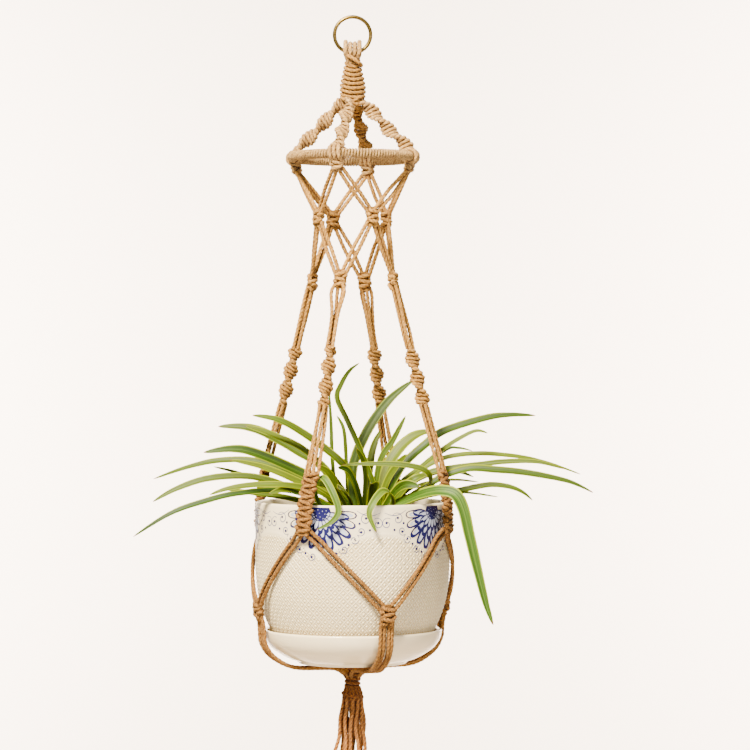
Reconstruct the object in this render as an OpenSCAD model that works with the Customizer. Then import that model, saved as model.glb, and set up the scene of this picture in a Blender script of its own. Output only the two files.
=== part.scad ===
// Hanging knotted-cord planter: a metal ring, a 16-strand knotted hanger with a hoop,
// a glazed pot on a saucer, and a trailing leafy plant. Millimetres, +Z up.
// Origin: where the hook bears, at the inner top of the metal ring.

/* [Ring and cord] */
// Outside diameter of the metal ring
ring_od = 40; // [30:0.5:60]
// Wire thickness of the metal ring
ring_wire = 3.8; // [2.5:0.1:6]
// Cord thickness
cord = 4.6; // [3:0.1:6]

/* [Hanger heights] */
// Bottom of the crown sennit
crown_z = -84; // [-110:1:-70]
// Hoop centre height
hoop_z = -139; // [-170:1:-110]
// Hoop radius to the middle of the tube
hoop_r = 60.5; // [45:0.5:80]
// First row of net knots
row1_z = -200; // [-230:1:-180]
// Second row of net knots
row2_z = -262; // [-290:1:-240]
// Top of the arm twists
twist_top_z = -329; // [-350:1:-310]
// Bottom of the arm twists
twist_end_z = -388; // [-410:1:-370]
// Top of the sennits at the pot rim
sennit_top_z = -452; // [-470:1:-435]
// Bottom of the sennits at the pot rim
sennit_end_z = -512; // [-530:1:-500]
// Cradle knots against the pot
cradle_z = -589; // [-610:1:-570]
// Where the cords are gathered under the saucer
gather_z = -649; // [-680:1:-645]
// Lowest end of the tassel
tassel_end_z = -852; // [-900:1:-760]

/* [Pot and saucer] */
// Pot rim height
rim_z = -483.5; // [-500:0.5:-470]
// Pot radius at the rim
pot_r = 97.2; // [80:0.1:110]
// Pot wall
pot_wall = 4.2; // [3:0.1:8]
// Saucer radius at its rim
saucer_r = 89.5; // [75:0.5:100]
// Saucer rim height
saucer_z = -611; // [-620:1:-600]
// Drain hole radius
drain_r = 7; // [3:0.5:12]

/* [Hidden] */
wr = ring_wire / 2;
ring_r = ring_od / 2 - wr;
ring_c = -(ring_r - wr);
pivot_z = ring_c - ring_r;
cr = cord / 2;
pot_foot_z = -636.9;
floor_z = -637;

jute = [0.80, 0.62, 0.38];
jute_dark = [0.66, 0.47, 0.26];
gold = [0.79, 0.71, 0.48];
ivory = [0.93, 0.90, 0.82];
white = [0.95, 0.93, 0.88];
soil_brown = [0.25, 0.17, 0.11];
leaf_green = [0.43, 0.57, 0.24];
leaf_pale = [0.58, 0.67, 0.38];

// ---- helpers -------------------------------------------------------------
function unit(v) = v / norm(v);
// Azimuth is counted from the front (-Y) towards the left (-X).
function P(az, r, z) = [-r * sin(az), -r * cos(az), z];
function out_dir(az) = [-sin(az), -cos(az), 0];
function side_dir(az) = [-cos(az), sin(az), 0];
function lerp(a, b, t) = a + (b - a) * t;

// One closed sweep: points, side reference, half widths, half thicknesses, twist, sides.
function tangent(p, i) = unit(p[min(i + 1, len(p) - 1)] - p[max(i - 1, 0)]);
function ring_pts(c, t, side, a, b, tw, n) =
  let (s0 = unit(side - t * (side * t)), m0 = cross(t, s0))
  [for (j = [0 : n - 1]) let (f = 360 * j / n, x = a * cos(f), y = b * sin(f))
    c + s0 * (x * cos(tw) - y * sin(tw)) + m0 * (x * sin(tw) + y * cos(tw))];
function shell_pts(s) = [for (i = [0 : len(s[0]) - 1])
  each ring_pts(s[0][i], tangent(s[0], i), s[1][i], s[2][i], s[3][i], s[4][i], s[5])];
function shell_faces(m, n, o) = concat(
  [for (i = [0 : m - 2], j = [0 : n - 1]) let (a = o + i * n + j, b = o + i * n + (j + 1) % n)
    each [[a, a + n, b + n], [a, b + n, b]]],
  [[for (j = [0 : n - 1]) o + j]],
  [[for (j = [0 : n - 1]) o + (m - 1) * n + n - 1 - j]]);
function count_before(list, k) = k == 0 ? 0 :
  count_before(list, k - 1) + len(list[k - 1][0]) * list[k - 1][5];
module sweeps(list) {
  polyhedron(points = [for (s = list) each shell_pts(s)],
    faces = [for (k = [0 : len(list) - 1])
      each shell_faces(len(list[k][0]), list[k][5], count_before(list, k))]);
}
function same(v, n) = [for (i = [1 : n]) v];
function tube(pts, side, r, n = 8) = [pts, same(side, len(pts)), same(r, len(pts)),
  same(r, len(pts)), same(0, len(pts)), n];
module rod(p, q, r = cr) {
  v = q - p;
  l = norm(v);
  translate(p) rotate([0, acos(v[2] / l), atan2(v[1], v[0])]) cylinder(h = l, r = r, $fn = 24);
}
// A smooth curve through hand-set points.
function cm(a, b, c, d, t) = 0.5 * (2 * b + (c - a) * t + (2 * a - 5 * b + 4 * c - d) * t * t
  + (3 * b - a - 3 * c + d) * t * t * t);
function through(p, k) = let (n = len(p)) [for (i = [0 : n - 2], j = [0 : k - 1])
  cm(p[max(i - 1, 0)], p[i], p[i + 1], p[min(i + 2, n - 1)], j / k), p[n - 1]];

// ---- the metal ring ------------------------------------------------------
module hanging_ring() color(gold)
  translate([0, 0, ring_c]) rotate([90, 0, 0])
    rotate_extrude($fn = 96) translate([ring_r, 0]) circle(r = wr, $fn = 32);

// ---- cord loops over the ring, in two layers -----------------------------
function loop_r(x, layer) = (abs(x) < 4 ? 4.8 : 6.4) + layer * (cord + 0.1);
function one_loop(x, layer) = let (m = loop_r(x, layer))
  tube(concat([[x, m - 0.8, pivot_z - 14]],
    [for (f = [0 : 30 : 180]) [x, m * cos(f), pivot_z + m * sin(f)]],
    [[x, 0.8 - m, pivot_z - 14]]), [1, 0, 0], cr);
module ring_loops() color(jute)
  sweeps([for (x = [-6.95, -2.32, 2.32, 6.95], layer = [0, 1]) one_loop(x, layer)]);

// ---- crown: a flat-knotted bundle with raised bars -----------------------
crown_top_z = pivot_z - 11;
crown_deep = [11.2, 13, 12.4, 13, 12, 12.6, 11.6, 12.2, 11, 12, 10.8, 12, 10.6, 11.8, 10, 10.6, 8.6];
crown_w = [7.6, 10, 9, 10.6, 9.4, 11.4, 10, 12, 10.6, 13, 11.2, 13.4, 11.4, 12.8, 10.6, 11.4, 9];
module crown_sennit() color(jute) {
  n = len(crown_w);
  sweeps([[[for (i = [0 : n - 1]) [0, 0, lerp(crown_top_z, crown_z, i / (n - 1))]],
    same([1, 0, 0], n), crown_w, crown_deep, same(0, n), 12]]);
}

// ---- hoop ----------------------------------------------------------------
hoop_core_r = 2;
hoop_skin_r = 4.2;
module hoop_core() color(gold * 0.7) translate([0, 0, hoop_z])
  rotate_extrude($fn = 120) translate([hoop_r, 0]) circle(r = hoop_core_r, $fn = 24);
module hoop_wrap() color(jute) translate([0, 0, hoop_z])
  rotate_extrude($fn = 120) translate([hoop_r, 0]) difference() {
    circle(r = hoop_skin_r, $fn = 32);
    circle(r = hoop_core_r + 0.05, $fn = 24);
  }

// ---- the arms: azimuth and radius against height -------------------------
function top_r(z) = lookup(z, [[-134.4, 60.5], [-124, 51], [-112, 37], [-94, 21], [-80, 5]]);
function arm_az(z) = lookup(z, [[sennit_end_z, 26.6], [rim_z, 25.6], [sennit_top_z, 23.7],
  [twist_end_z, 21.7], [twist_top_z, 20.3], [row2_z, 16], [hoop_z, 14.5], [0, 14.5]]);
function arm_r(z) = lookup(z, [[sennit_end_z, 106], [rim_z, 104], [sennit_top_z, 97.2],
  [twist_end_z, 76.7], [twist_top_z, 60.5], [row2_z, 42]]);
row1_r = 39;
row1_az = 59.5;
cradle_az = 69.5;
cradle_r = 99.6;

// A spiral sennit: an oval that turns half a round for each lobe.
module spiral(pts, az, lobes, a, b) {
  n = len(pts);
  sweeps([[pts, same(side_dir(az), n),
    [for (i = [0 : n - 1]) a * (i == 0 || i == n - 1 ? 0.7 : 1)],
    [for (i = [0 : n - 1]) b * (i == 0 || i == n - 1 ? 0.8 : 1)],
    [for (i = [0 : n - 1]) 180 * lobes * i / (n - 1)], 10]]);
}
module top_twist(k) color(jute) {
  az = 14.5 + 90 * k;
  zz = [for (i = [0 : 17]) lerp(-81.5, -133, pow(i / 17, 0.94))];
  spiral([for (z = zz) P(az, top_r(z), z)], az, 2.6, 7.4, 4);
}
module top_twist_a() top_twist(0);
module top_twist_b() top_twist(1);
module top_twist_c() top_twist(2);
module top_twist_d() top_twist(3);

// The cords hitched round the hoop, with a knot under it.
module hoop_hitch(k) color(jute) {
  az = 14.5 + 90 * k;
  translate([0, 0, hoop_z]) rotate([0, 0, -90 - az - 6.4])
    rotate_extrude(angle = 12.8, $fn = 120) translate([hoop_r, 0]) difference() {
      circle(r = hoop_skin_r + 2.6, $fn = 32);
      circle(r = hoop_skin_r + 0.05, $fn = 32);
    }
  knot(az, 57.6, -151.5, 11, [5.2, 6.9, 7, 6.6, 7, 5.4], 0.82, 10);
}
module hoop_hitch_a() hoop_hitch(0);
module hoop_hitch_b() hoop_hitch(1);
module hoop_hitch_c() hoop_hitch(2);
module hoop_hitch_d() hoop_hitch(3);

// A square knot as a short oval body with two raised bars.
function knot_shell(az, r, z, h, w, flat, lean) = let (n = len(w)) [
  [for (i = [0 : n - 1]) let (t = i / (n - 1) - 0.5)
    P(az, r - lean * t * h / 60, z - h * t)],
  same(side_dir(az), n), w, [for (x = w) x * flat], same(0, n), 10];
module knot(az, r, z, h, w, flat, lean = 0) { sweeps([knot_shell(az, r, z, h, w, flat, lean)]); }
knot_w = [4.6, 6.9, 7.4, 6.2, 7.4, 6.9, 4.8];
function row_shells(az, r, z) = [for (k = [0 : 3]) knot_shell(az + 90 * k, r, z, 15.5, knot_w, 0.74, 0)];
module first_row_knots() color(jute) { sweeps(row_shells(row1_az, row1_r, row1_z)); }
module second_row_knots() color(jute) { sweeps(row_shells(16, 42, row2_z)); }

// Four strands between an upper and a lower place, in a pair for each side.
module net(az1, r1, z1, az2, r2, z2, s) {
  for (e = [-1, 1]) rod(P(az1, r1, z1 + s * e) + side_dir(az1) * (s * 4.75 + e * 2.4),
    P(az2, r2, z2 + s * e) - side_dir(az2) * (s * 4.75 - e * 2.4));
}
module upper_net_cords() color(jute) for (k = [0 : 3]) {
  net(14.5 + 90 * k, 57, -155, row1_az + 90 * k, row1_r + 0.6, -194, 1);
  net(14.5 + 90 * k, 57, -155, row1_az - 90 + 90 * k, row1_r + 0.6, -194, -1);
}
module lower_net_cords() color(jute) for (k = [0 : 3]) {
  net(row1_az + 90 * k, row1_r, -206, 16 + 90 + 90 * k, 42, -256, 1);
  net(row1_az + 90 * k, row1_r, -206, 16 + 90 * k, 42, -256, -1);
}
// Four strands in a square bundle from one height to the next.
module bundle(z1, r1, z2, r2, wide1, wide2) for (k = [0 : 3], i = [-1, 1], j = [-1, 1]) {
  a1 = arm_az(z1) + 90 * k;
  a2 = arm_az(z2) + 90 * k;
  rod(P(a1, r1, z1) + side_dir(a1) * i * wide1 + out_dir(a1) * j * 2.4,
    P(a2, r2, z2) + side_dir(a2) * i * wide2 + out_dir(a2) * j * 2.4);
}
module arm_cords() color(jute) bundle(-267.5, 42.5, twist_top_z - 1.5, 60.8, 3.2, 2.4);

module arm_twist(k) color(jute) {
  n = 22;
  az = 21 + 90 * k;
  pts = [for (i = [0 : n - 1]) let (z = lerp(twist_top_z, twist_end_z, i / (n - 1)))
    P(arm_az(z) + 90 * k, arm_r(z), z)];
  spiral(pts, az, 3, 7.8, 4.6);
}
module arm_twist_a() arm_twist(0);
module arm_twist_b() arm_twist(1);
module arm_twist_c() arm_twist(2);
module arm_twist_d() arm_twist(3);

// Two strands in front stay close, and the two behind them spread to the sennit's edges.
module lower_arm_cords() color(jute) for (k = [0 : 3], i = [-1, 1], j = [0, 1]) {
  a1 = arm_az(twist_end_z) + 90 * k;
  a2 = arm_az(sennit_top_z) + 90 * k;
  rod(P(a1, 76.2, twist_end_z + 1.5) + side_dir(a1) * i * [3.2, 2.4][j] + out_dir(a1) * [-2.4, 2.4][j],
    P(a2, 97.6, sennit_top_z - 1.5) + side_dir(a2) * i * [6.6, 2.4][j] + out_dir(a2) * [-1, 2.2][j]);
}

// Flat square-knot sennit, with a bar at every half knot.
sennit_bars = 11;
module rim_sennit(k) color(jute) {
  n = 2 * sennit_bars + 1;
  pts = [for (i = [0 : n - 1]) let (z = lerp(sennit_top_z, sennit_end_z, i / (n - 1)))
    P(arm_az(z) + 90 * k, arm_r(z), z)];
  wide = [for (i = [0 : n - 1]) i == 0 || i == n - 1 ? 6.4 : (i % 2 == 1 ? 8.8 : 7.8)];
  thick = [for (i = [0 : n - 1]) i == 0 || i == n - 1 ? 3 : (i % 2 == 1 ? 4 : 3.3)];
  sweeps([[pts, [for (i = [0 : n - 1]) side_dir(25.2 + 90 * k)], wide, thick, same(0, n), 10]]);
}
module rim_sennit_a() rim_sennit(0);
module rim_sennit_b() rim_sennit(1);
module rim_sennit_c() rim_sennit(2);
module rim_sennit_d() rim_sennit(3);

// ---- cradle: strands that lie round the pot in straight runs on its wall --
// A strand from an arm (arc length s from the arm, height z) to a cradle knot.
wrap_r = 100.2;
function wrap_pt(az, s, z, r) = P(az + s / wrap_r * 180 / PI, r, z);
function strand(az, s1, z1, s2, z2) = let (m = 7)
  let (pts = [for (i = [0 : m]) let (t = i / m)
    wrap_pt(az, lerp(s1, s2, t), lerp(z1, z2, t), i == 0 ? 104.2 : (i == m ? 99.4 : wrap_r))])
  [pts, [for (i = [0 : m]) out_dir(az + lerp(s1, s2, i / m) / wrap_r * 180 / PI)],
    same(cr, m + 1), same(cr, m + 1), same(0, m + 1), 8];
left_s = (cradle_az - 26.6) * PI / 180 * wrap_r;
right_s = (26.6 + 90 - cradle_az) * PI / 180 * wrap_r;
module cradle_cords() color(jute) sweeps([for (k = [0 : 3])
  each [strand(26.6 + 90 * k, 7.3, -508, left_s - 2.4, -583),
    strand(26.6 + 90 * k, 2.4, -510.6, left_s - 6.4, -587.5),
    strand(26.6 + 90 * k, -7.3, -508, -right_s + 2.4, -583),
    strand(26.6 + 90 * k, -2.4, -510.6, -right_s + 6.4, -587.5)]]);
module cradle_knot(k) color(jute)
  knot(cradle_az + 90 * k, 99.7, cradle_z - 1, 16, [4.8, 7.2, 7.8, 6.6, 7.8, 7.2, 5], 0.66, 6);
module cradle_knot_a() cradle_knot(0);
module cradle_knot_b() cradle_knot(1);
module cradle_knot_c() cradle_knot(2);
module cradle_knot_d() cradle_knot(3);

// ---- base cords: down past the saucer and in under it ----------------------
base_path = [[98.2, -595], [95.8, -604], [94.6, -614], [93.4, -623], [86.5, -634.5], [72, -644.5],
  [58, -648.6], [38, -649.4], [20, -650.4], [9.5, -653.4]];
function base_strand(az, o) = let (n = len(base_path))
  [[for (i = [0 : n - 1]) let (q = base_path[i], s = o * lerp(2.45, 1.9, i / (n - 1)))
    P(az, q[0], q[1]) + side_dir(az) * s
      + (i == n - 1 ? out_dir(az) * (abs(o) > 2 ? 0 : -3.4) + [0, 0, abs(o) > 2 ? -1 : 0] : [0, 0, 0])],
  same(side_dir(az), n), same(cr, n), same(cr, n), same(0, n), 8];
module base_cords() color(jute_dark) sweeps([for (k = [0 : 3], o = [-3, -1, 1, 3])
  base_strand(cradle_az + 90 * k, o)]);

// ---- gather: a coil over the bundle, and a flared collar ---------------------
module gather_wrap() color(jute_dark) {
  for (i = [0 : 3]) translate([0, 0, gather_z - 6 - 4.25 * i])
    rotate_extrude($fn = 48) translate([6.4, 0]) circle(r = 2.15, $fn = 24);
  translate([0, 0, gather_z - 22]) cylinder(r = 6.9, h = 20, $fn = 48);
}
module gather_collar() color(jute_dark) translate([0, 0, gather_z - 32])
  rotate_extrude($fn = 48) polygon([[0, 0], [9.6, 0], [10.3, 2], [9.4, 6], [7.6, 9.95], [0, 9.95]]);

// ---- tassel strands ------------------------------------------------------------
// Angle, distance from the middle at the top, at the end, and the length cut short.
strand_set = [[0, 9, 17, 2], [36, 9, 14, 8], [108, 9, 16, 0], [144, 9, 15, 12],
  [180, 9, 13, 4], [216, 9, 16, 16], [252, 9, 14, 6], [288, 9, 17, 10], [324, 9, 15, 0],
  [18, 4.6, 9, 5], [90, 4.6, 10, 14], [162, 4.6, 9, 0], [234, 4.6, 10, 9], [306, 4.6, 9, 3],
  [40, 0, 2, 7], [72, 9, 22, 18]];
function tassel_pt(s, t) = P(s[0] + 14 * t * (1 - t), lerp(s[1], s[2], t * (1.5 - 0.5 * t)),
  lerp(gather_z - 32.1, tassel_end_z + s[3], t));
module tassel(i) color(jute) let (s = strand_set[i])
  sweeps([tube([for (t = [0 : 0.25 : 1]) tassel_pt(s, t)], [1, 0, 0], 2.2, 8)]);
module tassel_strand_01() tassel(0);
module tassel_strand_02() tassel(1);
module tassel_strand_03() tassel(2);
module tassel_strand_04() tassel(3);
module tassel_strand_05() tassel(4);
module tassel_strand_06() tassel(5);
module tassel_strand_07() tassel(6);
module tassel_strand_08() tassel(7);
module tassel_strand_09() tassel(8);
module tassel_strand_10() tassel(9);
module tassel_strand_11() tassel(10);
module tassel_strand_12() tassel(11);
module tassel_strand_13() tassel(12);
module tassel_strand_14() tassel(13);
module tassel_strand_15() tassel(14);
module tassel_strand_16() tassel(15);

// ---- saucer, pot and root ball --------------------------------------------------
module saucer() color(white) rotate_extrude($fn = 120) polygon([
  [0, -641.8], [49, -641.8], [50, -645], [55, -645], [56.5, -642.6], [75.5, -634], [82, -629],
  [86.5, -623], [88.8, -617], [saucer_r, saucer_z - 1.5], [saucer_r - 1, saucer_z],
  [saucer_r - 3, saucer_z], [saucer_r - 3.8, saucer_z - 1.5], [85.2, -617.5], [82.9, -622.4],
  [78.6, -627], [72.6, -631.2], [67.5, floor_z], [0, floor_z]]);
module pot() color(ivory) difference() {
  rotate_extrude($fn = 144) polygon([[0, pot_foot_z], [63, pot_foot_z], [65.6, -634.2], [76.5, -620],
    [84.6, -606], [90.2, -592], [94.2, -577], [96.3, -560], [97, -545], [pot_r, rim_z - 2.2],
    [pot_r - 0.5, rim_z - 0.6], [pot_r - 1.8, rim_z], [pot_r - 3, rim_z - 0.6],
    [pot_r - pot_wall, rim_z - 2.4], [97 - pot_wall, -545], [91.8, -562], [89.8, -577],
    [85.8, -591], [80.2, -604], [72.6, -616.6], [62, -629.4], [0, -629.4]]);
  translate([0, 0, pot_foot_z - 1]) cylinder(r = drain_r, h = 12, $fn = 48);
  for (a = [45, 165, 285]) rotate([0, 0, a]) translate([30, 0, pot_foot_z - 1])
    cylinder(r = drain_r * 0.5, h = 12, $fn = 36);
}
// The earth with the roots in it comes out as one plug.
module root_ball() color(soil_brown) rotate_extrude($fn = 96) polygon([[0, -628.6], [60.5, -628.6],
  [70, -617], [77, -606], [82, -594], [85.6, -580], [88, -564], [89.6, -545], [90, -512],
  [88, -508], [60, -505], [20, -502], [0, -501]]);

// ---- leaves ------------------------------------------------------------------
// Each leaf: its width, then points from the crown to the tip.
left_leaves = [
  [6, [5, -8, -503], [-58, -28, -474], [-110, -45, -474], [-146, -52, -482], [-179, -56, -494],
    [-215, -58, -516]],
  [6, [5, 2, -503], [-58, -12, -472], [-100, -18, -459], [-142, -24, -460], [-174, -28, -470],
    [-198, -30, -483]],
  [7, [8, 6, -503], [-30, 8, -472], [-63, 10, -456], [-98, 13, -445], [-133, 15, -444],
    [-165, 16, -450], [-201, 17, -462]],
  [8, [8, -8, -503], [-22, -22, -470], [-53, -35, -453], [-94, -48, -435], [-118, -52, -430],
    [-146, -56, -433]],
  [8, [8, 12, -503], [-28, 14, -453], [-56, 16, -434], [-87, 18, -417], [-109, 20, -410],
    [-136, 22, -409]],
  [6, [5, -3, -503], [-40, -8, -440], [-80, -10, -417], [-107, -11, -408]],
  [7.5, [12, -5, -503], [1, -12, -464], [-15, -18, -442], [-47, -26, -417], [-73, -31, -402],
    [-99, -33, -397]],
  [6, [5, -12, -503], [-26, -34, -476], [-56, -48, -461], [-87, -58, -448], [-120, -66, -440]],
  [6, [2, -14, -503], [-32, -42, -474], [-63, -58, -466], [-94, -66, -465], [-120, -71, -468],
    [-139, -74, -474]],
  [5, [-10, -2, -501], [-40, -12, -487], [-67, -22, -479], [-102, -30, -474], [-128, -34, -470]],
  [3.5, [0, 16, -503], [-40, 20, -480], [-80, 24, -468], [-118, 26, -456], [-141, 27, -450]]];
upright_leaves = [
  [3, [-14, 6, -504], [-20, 4, -447], [-21.5, 3, -410], [-23.5, 2, -372]],
  [3, [-4, 14, -504], [-6.5, 12, -443], [-9, 10, -412], [-16, 10, -398]],
  [8.5, [30, -4, -503], [24, -12, -474], [10, -16, -436], [-5, -18, -402], [-15, -19, -380],
    [-11, -20, -366], [-3, -21, -353], [7, -22, -345]],
  [8, [4, 8, -503], [0, 14, -455], [14, 20, -416], [36, 29, -384], [61, 36, -363]],
  [5, [20, -8, -503], [27, -10, -446], [41, -12, -422], [53, -14, -398]]];
right_leaves = [
  [9, [18, 6, -503], [35, 8, -475], [51, 12, -449], [73, 16, -429], [93, 20, -415], [134, 25, -402],
    [159, 27, -398], [185, 28, -398]],
  [5, [26, -2, -503], [46, -4, -468], [68, -6, -450], [89, -9, -433], [109, -12, -420],
    [124, -13, -413], [135, -14, -415]],
  [3, [30, 14, -500], [60, 15, -462], [93, 18, -434], [107, 19, -431], [121, 20, -434]],
  [5.5, [24, 2, -503], [40, 5, -474], [76, 8, -449], [98, 9, -440], [126, 10, -437],
    [151, 10, -438], [175, 10, -441], [200, 9, -447], [229, 8, -457]],
  [5, [28, -6, -503], [48, -5, -474], [74, -8, -456], [101, -10, -450], [126, -12, -447],
    [151, -13, -444], [184, -14, -444], [212, -15, -451]],
  [7.5, [26, -10, -503], [51, -15, -484], [76, -18, -468], [93, -20, -458], [117, -22, -451],
    [142, -24, -452], [167, -25, -454], [192, -26, -458], [217, -26, -464], [239, -26, -474]],
  [6, [24, 12, -503], [50, 18, -484], [76, 21, -478], [101, 24, -476], [126, 25, -471],
    [142, 26, -469], [159, 26, -471], [172, 26, -476], [182, 26, -484]],
  [3, [32, 0, -502], [60, -2, -484], [105, -6, -475], [146, -8, -479]],
  [3, [30, 22, -501], [60, 28, -472], [96, 33, -464], [128, 36, -466]],
  [5, [34, -14, -502], [60, -22, -478], [76, -27, -464], [72, -33, -452], [50, -36, -446],
    [20, -38, -445], [-10, -39, -446]],
  [10, [22, 16, -503], [34, 22, -456], [46, 27, -434], [62, 31, -420], [79, 35, -414]],
  [5, [30, 8, -503], [56, 12, -470], [80, 15, -457], [104, 17, -455], [122, 18, -460]]];
front_leaves = [
  [14, [22, -22, -502], [40, -44, -488], [57, -60, -479], [71, -71, -473], [86, -80, -470],
    [100, -86, -473], [108, -89, -487], [114, -91, -513], [122, -93, -547], [130, -95, -579],
    [137, -96, -599]],
  [7, [-12, -30, -503], [-30, -62, -486], [-35, -80, -465], [-28, -90, -457], [-19, -98, -470],
    [-13, -103, -488], [-20, -105, -499], [-34, -107, -506]],
  [8, [26, -30, -503], [38, -62, -486], [38, -80, -474], [30, -92, -470], [21, -101, -480],
    [17, -104, -492], [24, -105, -509]]];
short_leaves = [
  [7, [0, -18, -503], [-14, -42, -476], [-25, -56, -466], [-40, -66, -463]],
  [7, [4, -22, -503], [-4, -48, -478], [-12, -66, -468], [-14, -80, -468]],
  [7, [16, -24, -503], [20, -50, -474], [22, -66, -464], [19, -80, -463]],
  [8, [24, -22, -503], [40, -46, -476], [52, -60, -465], [66, -68, -466]],
  [7, [30, -16, -503], [48, -30, -474], [60, -40, -461], [72, -36, -456]],
  [6, [24, 22, -503], [40, 40, -468], [50, 52, -452], [62, 62, -450]],
  [6, [8, 24, -503], [-2, 46, -464], [-10, 58, -448], [-20, 72, -440]],
  [7, [-8, 16, -503], [-30, 30, -472], [-46, 42, -460], [-64, 52, -458]],
  [5, [10, -12, -503], [12, -24, -462], [10, -34, -442], [4, -44, -430]],
  [6, [22, -4, -503], [34, -10, -466], [44, -16, -448], [54, -24, -436]],
  [6, [-4, -8, -503], [-16, -20, -470], [-24, -28, -454], [-36, -36, -446]],
  [6, [14, 20, -503], [16, 34, -462], [20, 42, -434], [28, 48, -414]],
  [6, [-12, -6, -503], [-40, -26, -478], [-62, -40, -470], [-82, -50, -474]],
  [6, [12, -16, -503], [4, -36, -470], [-4, -46, -452], [-14, -56, -448]]];
leaf_w = [0.8, 1, 1, 0.95, 0.8, 0.5, 0.12];
function leaf_width(t, w) = let (k = t * (len(leaf_w) - 1), i = min(floor(k), len(leaf_w) - 2))
  w * lerp(leaf_w[i], leaf_w[i + 1], k - i) / 2;
module leaf(q, thick = 0.55) {
  c = [for (i = [1 : len(q) - 1]) q[i]];
  p = through(c, 2);
  n = len(p);
  run = c[len(c) - 1] - c[0];
  side = unit(cross(run, [0, 0, 1]) + [0.001, 0, 0]);
  sweeps([[p, same(side, n), [for (i = [0 : n - 1]) max(leaf_width(i / (n - 1), q[0]), 0.4)],
    [for (i = [0 : n - 1]) i == n - 1 ? 0.3 : thick], same(0, n), 4]]);
  // the sheath that the leaf grows from
  hull() {
    translate(c[0] - [0, 0, 1.5]) cylinder(r = q[0] * 0.42, h = 2, $fn = 6);
    translate(lerp(c[0], c[1], 0.14)) cylinder(r = 0.9, h = 1, $fn = 6);
  }
}
module leaves_left() color(leaf_green) union() for (q = left_leaves) leaf(q);
module leaves_right() color(leaf_green) union() for (q = right_leaves) leaf(q);
module leaves_upright() color(leaf_green) union() {
  for (q = upright_leaves) leaf(q);
  for (a = [0 : 90 : 270]) hull() {
    translate([16, 2, -504.5] + 9 * [cos(a), sin(a), 0]) cylinder(r = 4, h = 2, $fn = 8);
    translate([16, 2, -497] + 6 * [cos(a), sin(a), 0]) cylinder(r = 2, h = 2, $fn = 8);
  }
}
module leaves_front() color(leaf_pale) union() {
  for (q = front_leaves) leaf(q, 0.7);
  for (a = [0 : 60 : 300]) hull() {
    translate([14, -24, -504.5] + 7 * [cos(a), sin(a), 0]) cylinder(r = 3, h = 2, $fn = 8);
    translate([14, -24, -498] + 4 * [cos(a), sin(a), 0]) cylinder(r = 1.5, h = 2, $fn = 8);
  }
}
module leaves_short() color(leaf_green * 0.85) union() for (q = short_leaves) leaf(q);

hanging_ring();
ring_loops();
crown_sennit();
top_twist_a();
top_twist_b();
top_twist_c();
top_twist_d();
hoop_core();
hoop_wrap();
hoop_hitch_a();
hoop_hitch_b();
hoop_hitch_c();
hoop_hitch_d();
upper_net_cords();
first_row_knots();
lower_net_cords();
second_row_knots();
arm_cords();
arm_twist_a();
arm_twist_b();
arm_twist_c();
arm_twist_d();
lower_arm_cords();
rim_sennit_a();
rim_sennit_b();
rim_sennit_c();
rim_sennit_d();
cradle_cords();
cradle_knot_a();
cradle_knot_b();
cradle_knot_c();
cradle_knot_d();
base_cords();
gather_wrap();
gather_collar();
saucer();
pot();
root_ball();
leaves_left();
leaves_right();
leaves_upright();
leaves_front();
leaves_short();
tassel_strand_01();
tassel_strand_02();
tassel_strand_03();
tassel_strand_04();
tassel_strand_05();
tassel_strand_06();
tassel_strand_07();
tassel_strand_08();
tassel_strand_09();
tassel_strand_10();
tassel_strand_11();
tassel_strand_12();
tassel_strand_13();
tassel_strand_14();
tassel_strand_15();
tassel_strand_16();
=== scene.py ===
"""Looks of the hanging knotted-cord planter: jute hanger, glazed pot and saucer, leafy plant."""

import math
import random

import bpy
import numpy as np
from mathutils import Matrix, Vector


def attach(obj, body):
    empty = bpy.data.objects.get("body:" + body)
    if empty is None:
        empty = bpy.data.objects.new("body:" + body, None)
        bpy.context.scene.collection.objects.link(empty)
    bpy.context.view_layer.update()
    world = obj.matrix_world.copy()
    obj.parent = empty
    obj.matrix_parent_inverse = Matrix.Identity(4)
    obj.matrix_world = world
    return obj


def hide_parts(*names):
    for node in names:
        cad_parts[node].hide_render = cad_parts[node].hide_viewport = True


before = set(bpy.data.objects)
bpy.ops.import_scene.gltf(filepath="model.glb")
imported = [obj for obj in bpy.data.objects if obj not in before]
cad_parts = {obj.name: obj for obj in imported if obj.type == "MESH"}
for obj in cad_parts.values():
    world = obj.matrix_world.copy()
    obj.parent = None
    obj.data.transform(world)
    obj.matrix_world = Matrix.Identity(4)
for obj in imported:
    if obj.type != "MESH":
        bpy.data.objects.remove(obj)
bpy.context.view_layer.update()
MM = 0.001
DEG = 180 / math.pi
rng = random.Random(7)

# sizes in millimetres and degrees; azimuth is counted from the front (-Y) towards the left (-X)
CORD_R, LAY_PITCH = 2.3, 15  # the cord's own radius, and one turn of its plies; a knot pulls it thinner
HEAD_AZ, RIM_AZ = 14.5, 26.6  # the first arm at the hoop and at the pot's rim
QUARTER = 90  # from one arm to the next

# ---------------------------------------------------------------- small helpers


def srgb(code):
    """A hex colour as linear RGBA."""
    parts = [int(code[i : i + 2], 16) / 255 for i in (1, 3, 5)]
    return tuple([c / 12.92 if c <= 0.04045 else ((c + 0.055) / 1.055) ** 2.4 for c in parts] + [1])


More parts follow.
